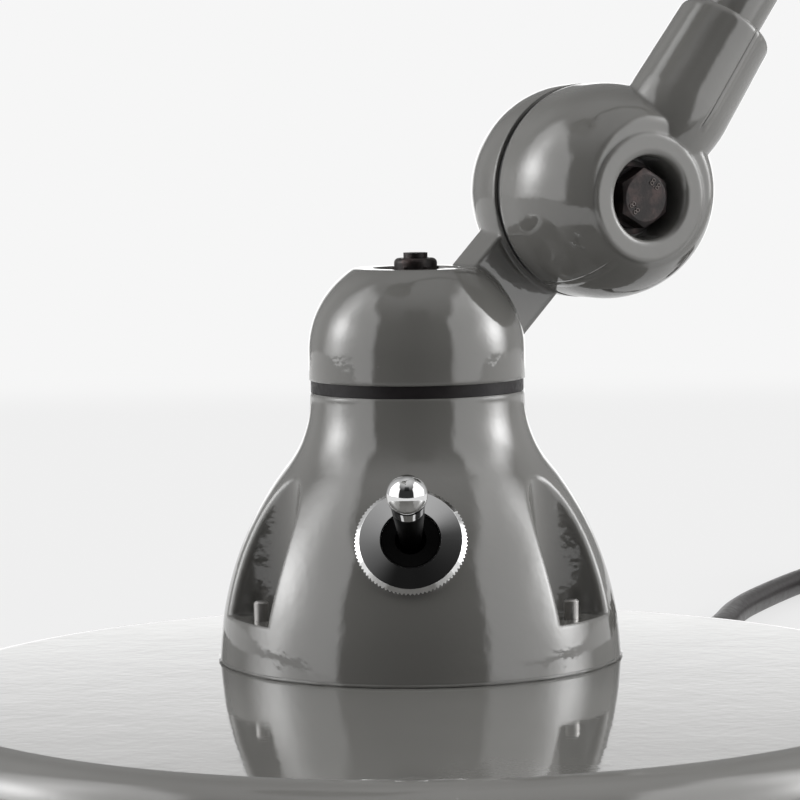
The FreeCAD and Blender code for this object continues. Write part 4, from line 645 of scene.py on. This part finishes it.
def piece(name: str, shape: bmesh.types.BMesh, finish: Finish, body: Body,
          smooth: bool = True) -> bpy.types.Object:
    """Makes an object of a finished mesh and fixes it to a body.

    Args:
        name: the piece's name.
        shape: its mesh, in place, which is used up.
        finish: its finish.
        body: the body it rides on.
        smooth: whether its faces are shaded smooth.

    Returns:
        The object.
    """
    for face in shape.faces:
        face.smooth = smooth
    mesh = bpy.data.meshes.new(name)
    shape.to_mesh(mesh)
    shape.free()
    mesh.materials.append(finish.material())
    made = bpy.data.objects.new(name, mesh)
    bpy.context.scene.collection.objects.link(made)
    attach(made, body.value)
    LOG.info("%s: %d faces", name, len(mesh.polygons))
    return made


def lathe(outline: list[tuple[float, float]], base: Vector, axis: Vector,
          steps: int = 96) -> bmesh.types.BMesh:
    """Turns a closed outline round an axis.

    Args:
        outline: points of radius and height, in millimetres.
        base: where the axis starts, in metres.
        axis: its direction.
        steps: how many sides the turning has.

    Returns:
        The closed mesh, in place.
    """
    shape = bmesh.new()
    loop = [shape.verts.new((reach * MM, 0.0, height * MM)) for reach, height in outline]
    edges = [shape.edges.new(pair) for pair in zip(loop, loop[1:] + loop[:1])]
    bmesh.ops.spin(shape, geom=loop + edges, cent=(0.0, 0.0, 0.0), axis=(0.0, 0.0, 1.0),
                   dvec=(0.0, 0.0, 0.0), angle=2.0 * math.pi, steps=steps, use_merge=True,
                   use_duplicate=False)
    bmesh.ops.remove_doubles(shape, verts=shape.verts, dist=0.001 * MM)
    bmesh.ops.recalc_face_normals(shape, faces=shape.faces)
    turn = axis.to_track_quat("Z", "Y").to_matrix().to_4x4()
    bmesh.ops.transform(shape, verts=shape.verts, matrix=Matrix.Translation(base) @ turn)
    return shape


@dataclass
class Base:
    """The round cover, the iron under it, the pad and the strain relief."""

    nodes: Nodes

    def dress(self) -> None:
        """Finishes the base's solids."""
        self.nodes.dress(LIGHTENED_PLATE_PAINT, "base_cover")
        self.nodes.dress(IRON, "base_ballast")
        self.nodes.dress(FOAM, "base_pad")
        self.nodes.dress(ZINC, "ballast_nuts", "bell_screws", "bell_screw_washers")
        self.nodes.dress(GASKET, "cord_gland")
        self.nodes.dress(SHEATH, "inner_lead")


@dataclass
class Bell:
    """The cast bell on the base."""

    nodes: Nodes
    bead: float = 0.42
    uneven: float = 0.30

    def build(self) -> None:
        """Runs the uneven bead of paint round the bell's foot."""
        corners = [vertex.co - SWIVEL for vertex in
                   self.nodes.solids["bell_housing"].data.vertices]
        reach = max(math.hypot(corner.x, corner.y) for corner in corners) / MM
        outline = [(reach + self.bead * (math.cos(turn) - 0.35),
                    self.bead * (math.sin(turn) + 1.02))
                   for turn in (math.tau * step / 10 for step in range(10))]
        shape = lathe(outline, SWIVEL, Vector((0.0, 0.0, 1.0)), 240)
        for corner in shape.verts:
            way = (corner.co - SWIVEL).xy.normalized()
            swell = self.uneven * MM * (noise.noise(corner.co * 160.0)
                                        + 0.6 * noise.noise(corner.co * 520.0))
            corner.co.x += way.x * swell
            corner.co.y += way.y * swell
        piece("bell_paint_bead", shape, PAINT, Body.BASE)

    def dress(self) -> None:
        """Finishes the bell."""
        self.nodes.dress(PAINT, "bell_housing")


@dataclass
class Swivel:
    """The dome that turns on the bell, with its bolt and its friction ring."""

    nodes: Nodes

    def dress(self) -> None:
        """Finishes the swivel's solids."""
        self.nodes.dress(PAINT, "base_knuckle")
        self.nodes.dress(GASKET, "swivel_gasket")
        self.nodes.dress(BLACKENED, "swivel_bolt", "swivel_nut", "swivel_washer",
                         "swivel_springs")


@dataclass
class FrictionJoint:
    """One ball-shaped joint with its bolt, its disc and its contacts."""

    nodes: Nodes
    name: str
    body: Body
    grade: str = "8.8"
    letter: float = 2.7 * MM
    proud: float = 0.16 * MM
    circle: float = 4.15 * MM
    mark_turns: tuple[float, float] = (125.0, -40.0)

    def build(self) -> None:
        """Raises the plain grade number twice on the bolt's head."""
        bolt = self.nodes.solids[f"{self.name}_joint_bolt"]
        corners = [vertex.co for vertex in bolt.data.vertices]
        high = max(corner.dot(PLANE_SIDE) for corner in corners)
        head = [corner for corner in corners if high - corner.dot(PLANE_SIDE) < 0.01 * MM]
        middle = sum(head, Vector()) / len(head)
        for number, turn in enumerate(self.mark_turns, start=1):
            shape = self.mark()
            place = (Matrix.Translation(middle) @ Matrix((PLANE_OUT, Vector((0.0, 0.0, 1.0)),
                                                          PLANE_SIDE)).transposed().to_4x4()
                     @ Matrix.Rotation(math.radians(turn), 4, "Z")
                     @ Matrix.Translation((0.0, self.circle, 0.0)))
            bmesh.ops.transform(shape, matrix=place, verts=shape.verts)
            piece(f"{self.name}_bolt_grade_{number}", shape, WORN, self.body,
                  False)

    def mark(self) -> bmesh.types.BMesh:
        """The grade number as a solid that is a little proud of z = 0."""
        letters = bpy.data.curves.new("grade", "FONT")
        letters.body = self.grade
        letters.size = self.letter
        letters.extrude = self.proud
        letters.align_x = "CENTER"
        letters.align_y = "CENTER"
        holder = bpy.data.objects.new("grade", letters)
        bpy.context.scene.collection.objects.link(holder)
        bpy.context.view_layer.update()
        shape = bmesh.new()
        shape.from_mesh(holder.to_mesh())
        holder.to_mesh_clear()
        bpy.data.objects.remove(holder)
        bpy.data.curves.remove(letters)
        bmesh.ops.remove_doubles(shape, verts=shape.verts, dist=0.001 * MM)
        return shape

    def dress(self) -> None:
        """Finishes the joint's solids."""
        self.nodes.dress(BLACKENED, f"{self.name}_joint_bolt", f"{self.name}_joint_washers",
                         f"{self.name}_joint_nut")
        self.nodes.dress(BOARD, f"{self.name}_contact_disc")
        self.nodes.dress(BRASS, f"{self.name}_contact_rings", f"{self.name}_brushes")


@dataclass
class SwingArm:
    """An arm: a tube in two cast sockets."""

    nodes: Nodes
    name: str
    foot: Vector
    head: Vector
    degrees: float

    def dress(self) -> None:
        """Finishes the arm's solids."""
        self.nodes.dress(parted_paint(f"{self.name}_foot_paint", self.foot, self.degrees),
                         f"{self.name}_foot")
        self.nodes.dress(parted_paint(f"{self.name}_head_paint", self.head, self.degrees),
                         f"{self.name}_head")
        self.nodes.dress(SPUN_PAINT, f"{self.name}_tube")
        self.nodes.dress(BLACKENED, f"{self.name}_screws")


@dataclass
class Head:
    """The lamp head: its casting, the shade, the holder and the bulb."""

    nodes: Nodes

    def dress(self) -> None:
        """Finishes the head's solids."""
        self.nodes.dress(PAINT, "head_knuckle")
        self.nodes.dress(SHADE_PAINT, "shade")
        self.nodes.dress(ZINC, "shade_ring", "cap_screws")
        self.nodes.dress(PORCELAIN, "lamp_holder")
        self.nodes.dress(BRASS, "bulb_cap")
        self.nodes.dress(FROSTED, "bulb_glass")


@dataclass
class ToggleSwitch:
    """The chrome toggle switch on the bell."""

    nodes: Nodes
    # The black disc that is painted shade in the nut's mouth, in millimetres.
    disc_inner: float = 3.7
    disc_outer: float = 6.9
    disc_low: float = 2.3
    disc_thick: float = 0.25

    def build(self) -> None:
        """Lays a dead black disc in the nut's mouth, round the lever, as painted shade there."""
        top = self.disc_low + self.disc_thick
        outline = [(self.disc_inner, self.disc_low), (self.disc_outer, self.disc_low),
                   (self.disc_outer, top), (self.disc_inner, top)]
        piece("switch_mouth_shade_disc", lathe(outline, SWITCH_SEAT, SWITCH_OUT), MOUTH_SHADE_DISC, Body.BASE,
              False)

    def dress(self) -> None:
        """Finishes the switch's solids."""
        self.nodes.dress(NUT_CHROME, "switch_nut")
        self.nodes.dress(LEVER_CHROME, "switch_lever")
        self.nodes.dress(MOULDING, "switch_body", "switch_bushing")
        self.nodes.dress(BRASS, "switch_terminals")


@dataclass
class MainsCord:
    """The cord from its strain relief over the table to its coil and plug."""

    nodes: Nodes
    radius: float = 4.0
    low: float = 4.4
    middle: tuple[float, float] = (205.0, 336.0)
    coil_radius: float = 55.5
    pitch: float = 8.7
    turns: float = 2.5
    start: float = 140.0
    per_turn: int = 16
    lead: float = 36.0
    length: float = 1.80
    run: tuple[tuple[float, float, float], ...] = (
        (57.689, 142.786, 10.5), (65.181, 161.330, 10.0), (78.3, 190.5, 4.7),
        (93.6, 227.0, 4.0), (101.2, 262.0, 4.0), (114.8, 296.0, 4.0), (134.8, 338.0, 4.0))

    def coil_point(self, turns: float) -> Vector:
        """The coil's centre line, in millimetres: in, up a layer, and out again.

        Args:
            turns: how many turns from its start.

        Returns:
            The point.
        """
        inner = self.coil_radius - self.pitch * self.turns
        height = self.low
        if turns <= self.turns:
            reach = self.coil_radius - self.pitch * turns
        elif turns <= self.turns + 0.5:
            share = (turns - self.turns) * 2.0
            reach = inner - self.pitch / math.pi * 0.5 * math.sin(math.pi * share)
            height += self.pitch * (1.0 - math.cos(math.pi * share)) / 2.0
        else:
            reach = inner + self.pitch * (turns - self.turns - 0.5)
            height += self.pitch
        angle = math.radians(self.start - 360.0 * turns)
        return Vector((self.middle[0] + reach * math.cos(angle),
                       self.middle[1] + reach * math.sin(angle), height))

    def route(self) -> list[Vector]:
        """The control points of the cord's line, in metres."""
        total = 2.0 * self.turns + 0.5
        steps = round(total * self.per_turn)
        first, second = self.coil_point(0.0), self.coil_point(0.0001)
        last, before = self.coil_point(total), self.coil_point(total - 0.0001)
        points = [Vector(point) for point in self.run]
        points.append(first - (second - first).normalized() * 2.0 * self.radius)
        points += [self.coil_point(total * step / steps) for step in range(steps + 1)]
        points.append(last + (last - before).normalized() * self.lead)
        return [point * MM for point in points]

    def build(self) -> None:
        """Lays the cord as one smooth line."""
        data = bpy.data.curves.new("mains_cord", "CURVE")
        data.dimensions = "3D"
        data.resolution_u = 8
        data.bevel_depth = self.radius * MM
        data.bevel_resolution = 6
        data.use_fill_caps = True
        spline = data.splines.new("NURBS")
        points = self.route()
        spline.points.add(len(points) - 1)
        for point, place in zip(spline.points, points):
            point.co = (*place, 1.0)
        spline.order_u = 3
        spline.use_endpoint_u = True
        spline.use_smooth = True
        data.materials.append(SHEATH.material())
        cord = bpy.data.objects.new("mains_cord", data)
        bpy.context.scene.collection.objects.link(cord)
        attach(cord, Body.BASE.value)
        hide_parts("cord_tail", "cord_coil")
        LOG.info("mains_cord: %d points", len(points))

    def dress(self) -> None:
        """Finishes the cord's solids."""
        self.nodes.dress(MOULDING, "plug_body", "cord_tie")
        self.nodes.dress(CHROME, "plug_pins")


@dataclass(frozen=True)
class SoftBox:
    """The light of a soft box beside the lamp, with its angles in degrees.

    It is an even panel with a hot core and an upright strip through the core.
    """

    hand: float
    near: float
    far: float
    high: float
    core_power: float
    strip_power: float
    power: float = 1.5
    hot: float = 94.0
    core_wide: float = 15.0
    core_tall: float = 11.0
    strip_wide: float = 11.0

    @staticmethod
    def hump(graph: Graph, off: Signal) -> Signal:
        """A soft hump, 1 where off is 0."""
        return graph.node("ShaderNodeMath", {"operation": "EXPONENT"}, {0: off * -1.0})

    def shine(self, graph: Graph, turn: Signal, rise: Signal, level: Signal) -> Signal:
        """Adds the box's light.

        Args:
            graph: the world's graph.
            turn: the direction's turn from the camera's side.
            rise: its rise above the table.
            level: the light without this box.

        Returns:
            The light with it.
        """
        turn = turn * self.hand
        across = turn.ease(self.near, self.near + 7.0) * turn.ease(self.far, self.far - 14.0)
        top = turn.ease(self.near, self.near + 38.0, 37.0, 58.0)
        tall = rise.ease(-12.0, -4.0) * (rise - top).ease(5.0, -5.0)
        level = level + across * tall * self.power
        core = self.hump(graph, ((turn - self.hot) / self.core_wide) ** 2.0
                         + ((rise - self.high) / self.core_tall) ** 2.0)
        strip = self.hump(graph, ((turn - self.hot) / self.strip_wide) ** 2.0)
        strip = strip * rise.ease(-6.0, 0.0) * rise.ease(self.high + 38.0, self.high + 18.0)
        return level + core * rise.ease(-8.0, -2.0) * self.core_power + strip * self.strip_power


LEFT_BOX = SoftBox(hand=-1.0, near=44.0, far=122.0, high=18.0, core_power=3.6, strip_power=1.5)
RIGHT_BOX = SoftBox(hand=1.0, near=35.0, far=118.0, high=15.0, core_power=4.6, strip_power=2.3)


@dataclass
class Studio:
    """The camera, the table top and the light round the lamp."""

    place: tuple[float, float, float] = (-4.325, -787.0, 162.25)
    pitch: float = 4.86
    roll: float = 0.79
    lens: float = 149.49
    table_back: float = 1.331
    table_front: float = 0.42
    table_side: float = 1.7
    paper: float = 0.80
    table_glow: float = 0.906
    backdrop: float = 0.922

    def camera(self) -> None:
        """Sets up the camera where the photograph was taken from."""
        data = bpy.data.cameras.new("camera")
        data.sensor_width = 36.0
        data.lens = self.lens
        data.clip_end = 20.0
        made = bpy.data.objects.new("camera", data)
        bpy.context.scene.collection.objects.link(made)
        look = Matrix.Rotation(math.radians(90.0 - self.pitch), 4, "X")
        lean = Matrix.Rotation(math.radians(-self.roll), 4, "Z")
        made.matrix_world = Matrix.Translation(Vector(self.place) * MM) @ look @ lean
        bpy.context.scene.camera = made

    def table(self) -> None:
        """Lays the pale table top."""
        shape = bmesh.new()
        bmesh.ops.create_grid(shape, x_segments=1, y_segments=1, size=1.0)
        depth = (self.table_back + self.table_front) / 2.0
        bmesh.ops.scale(shape, verts=shape.verts, vec=(self.table_side, depth, 1.0))
        bmesh.ops.translate(shape, verts=shape.verts,
                            vec=(0.0, self.table_back - depth, -0.0001))
        mesh = bpy.data.meshes.new("table_top")
        shape.to_mesh(mesh)
        shape.free()
        made = bpy.data.objects.new("table_top", mesh)
        bpy.context.scene.collection.objects.link(made)
        mesh.materials.append(self.table_material())

    def table_material(self) -> bpy.types.Material:
        """White matt paper that stays plain to the camera and in reflections."""
        made = bpy.data.materials.new("table_paper")
        graph = Graph(made)
        path = graph.node("ShaderNodeLightPath", output="Is Camera Ray")
        seen = path + path.other("Is Glossy Ray") + path.other("Is Transmission Ray")
        seen = seen.ease(0.0, 1.0)
        far = graph.off_plane(Vector((0.0, self.table_back, 0.0)), Vector((0.0, -1.0, 0.0)))
        merge = far.ease(0.34, 0.0)
        paper = graph.node("ShaderNodeBsdfDiffuse", None,
                           {"Color": (self.paper, self.paper, self.paper, 1.0)})
        shade = graph.blend(merge, [self.table_glow] * 3, [self.backdrop] * 3)
        glow = graph.node("ShaderNodeEmission", None, {"Color": shade, "Strength": 1.0})
        graph.end(graph.node("ShaderNodeMixShader", None,
                             {0: seen * merge.ease(0.0, 1.0, 0.78, 1.0), 1: paper, 2: glow}))
        return made

    def light(self) -> None:
        """Surrounds the lamp with two soft boxes, a pale wall behind and a darker room.

        Every direction has a turn, counted from the camera's side, and a rise above the
        table, both in degrees.
        """
        world = bpy.data.worlds.new("studio")
        bpy.context.scene.world = world
        graph = Graph(world)
        way = graph.node("ShaderNodeTexCoord", output="Generated")
        split = graph.node("ShaderNodeSeparateXYZ", None, {0: way})
        x, y, z = split.other("X"), split.other("Y"), split.other("Z")
        turn = graph.node("ShaderNodeMath", {"operation": "ARCTAN2"}, {0: x, 1: 0.0 - y})
        rise = graph.node("ShaderNodeMath", {"operation": "ARCSINE"}, {0: z})
        turn = turn * (180.0 / math.pi)
        rise = rise * (180.0 / math.pi)
        side = turn.size()
        room = rise.ease(28.0, 78.0, 0.035, 0.62)
        wall = side.ease(108.0, 122.0) * rise.ease(75.0, 40.0) * rise.ease(-30.0, -5.0)
        sweep = side.ease(158.0, 168.0) * rise.ease(12.6, 11.3) * rise.ease(-9.0, -5.0)
        below = rise.ease(-3.0, -12.0) * side.ease(40.0, 60.0)
        level = room * (1.0 - wall) + wall * side.ease(135.0, 160.0, 0.55, 0.28)
        level = level + sweep * rise.ease(11.5, 8.0, 0.77, 1.50)
        level = level * (1.0 - below) + below * 0.55
        dim = side.ease(22.0, 12.0) * rise.ease(26.0, 34.0) * rise.ease(58.0, 48.0)
        level = level * (1.0 - dim * 0.8)
        for box in (LEFT_BOX, RIGHT_BOX):
            level = box.shine(graph, turn, rise, level)
        path = graph.node("ShaderNodeLightPath", output="Is Camera Ray")
        seen = (path + path.other("Is Transmission Ray")).ease(0.0, 1.0)
        level = level * (1.0 - seen) + seen * self.backdrop
        graph.end(graph.node("ShaderNodeBackground", None,
                             {"Color": (1.0, 1.0, 1.0, 1.0), "Strength": level}))

    def build(self) -> None:
        """Sets up the camera, the table and the light."""
        self.camera()
        self.table()
        self.light()
        bpy.context.scene.view_settings.view_transform = "Standard"


def main() -> None:
    """Builds the lamp's looks in order."""
    logging.basicConfig(level=logging.INFO, format="%(message)s")
    nodes = Nodes(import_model())
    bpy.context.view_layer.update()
    Studio().build()
    parts = [
        MainsCord(nodes), Base(nodes), Bell(nodes), Swivel(nodes), ToggleSwitch(nodes),
        FrictionJoint(nodes, "lower", Body.KNUCKLE), FrictionJoint(nodes, "elbow", Body.UPPER_ARM),
        FrictionJoint(nodes, "head", Body.UPPER_ARM),
        SwingArm(nodes, "lower_arm", LOWER, ELBOW, LOWER_SLOPE),
        SwingArm(nodes, "upper_arm", ELBOW, HEAD, UPPER_SLOPE), Head(nodes),
    ]
    for part in parts:
        if hasattr(part, "build"):
            part.build()
        part.dress()
        LOG.info("%s is finished", type(part).__name__)


if __name__ == "__main__":
    main()
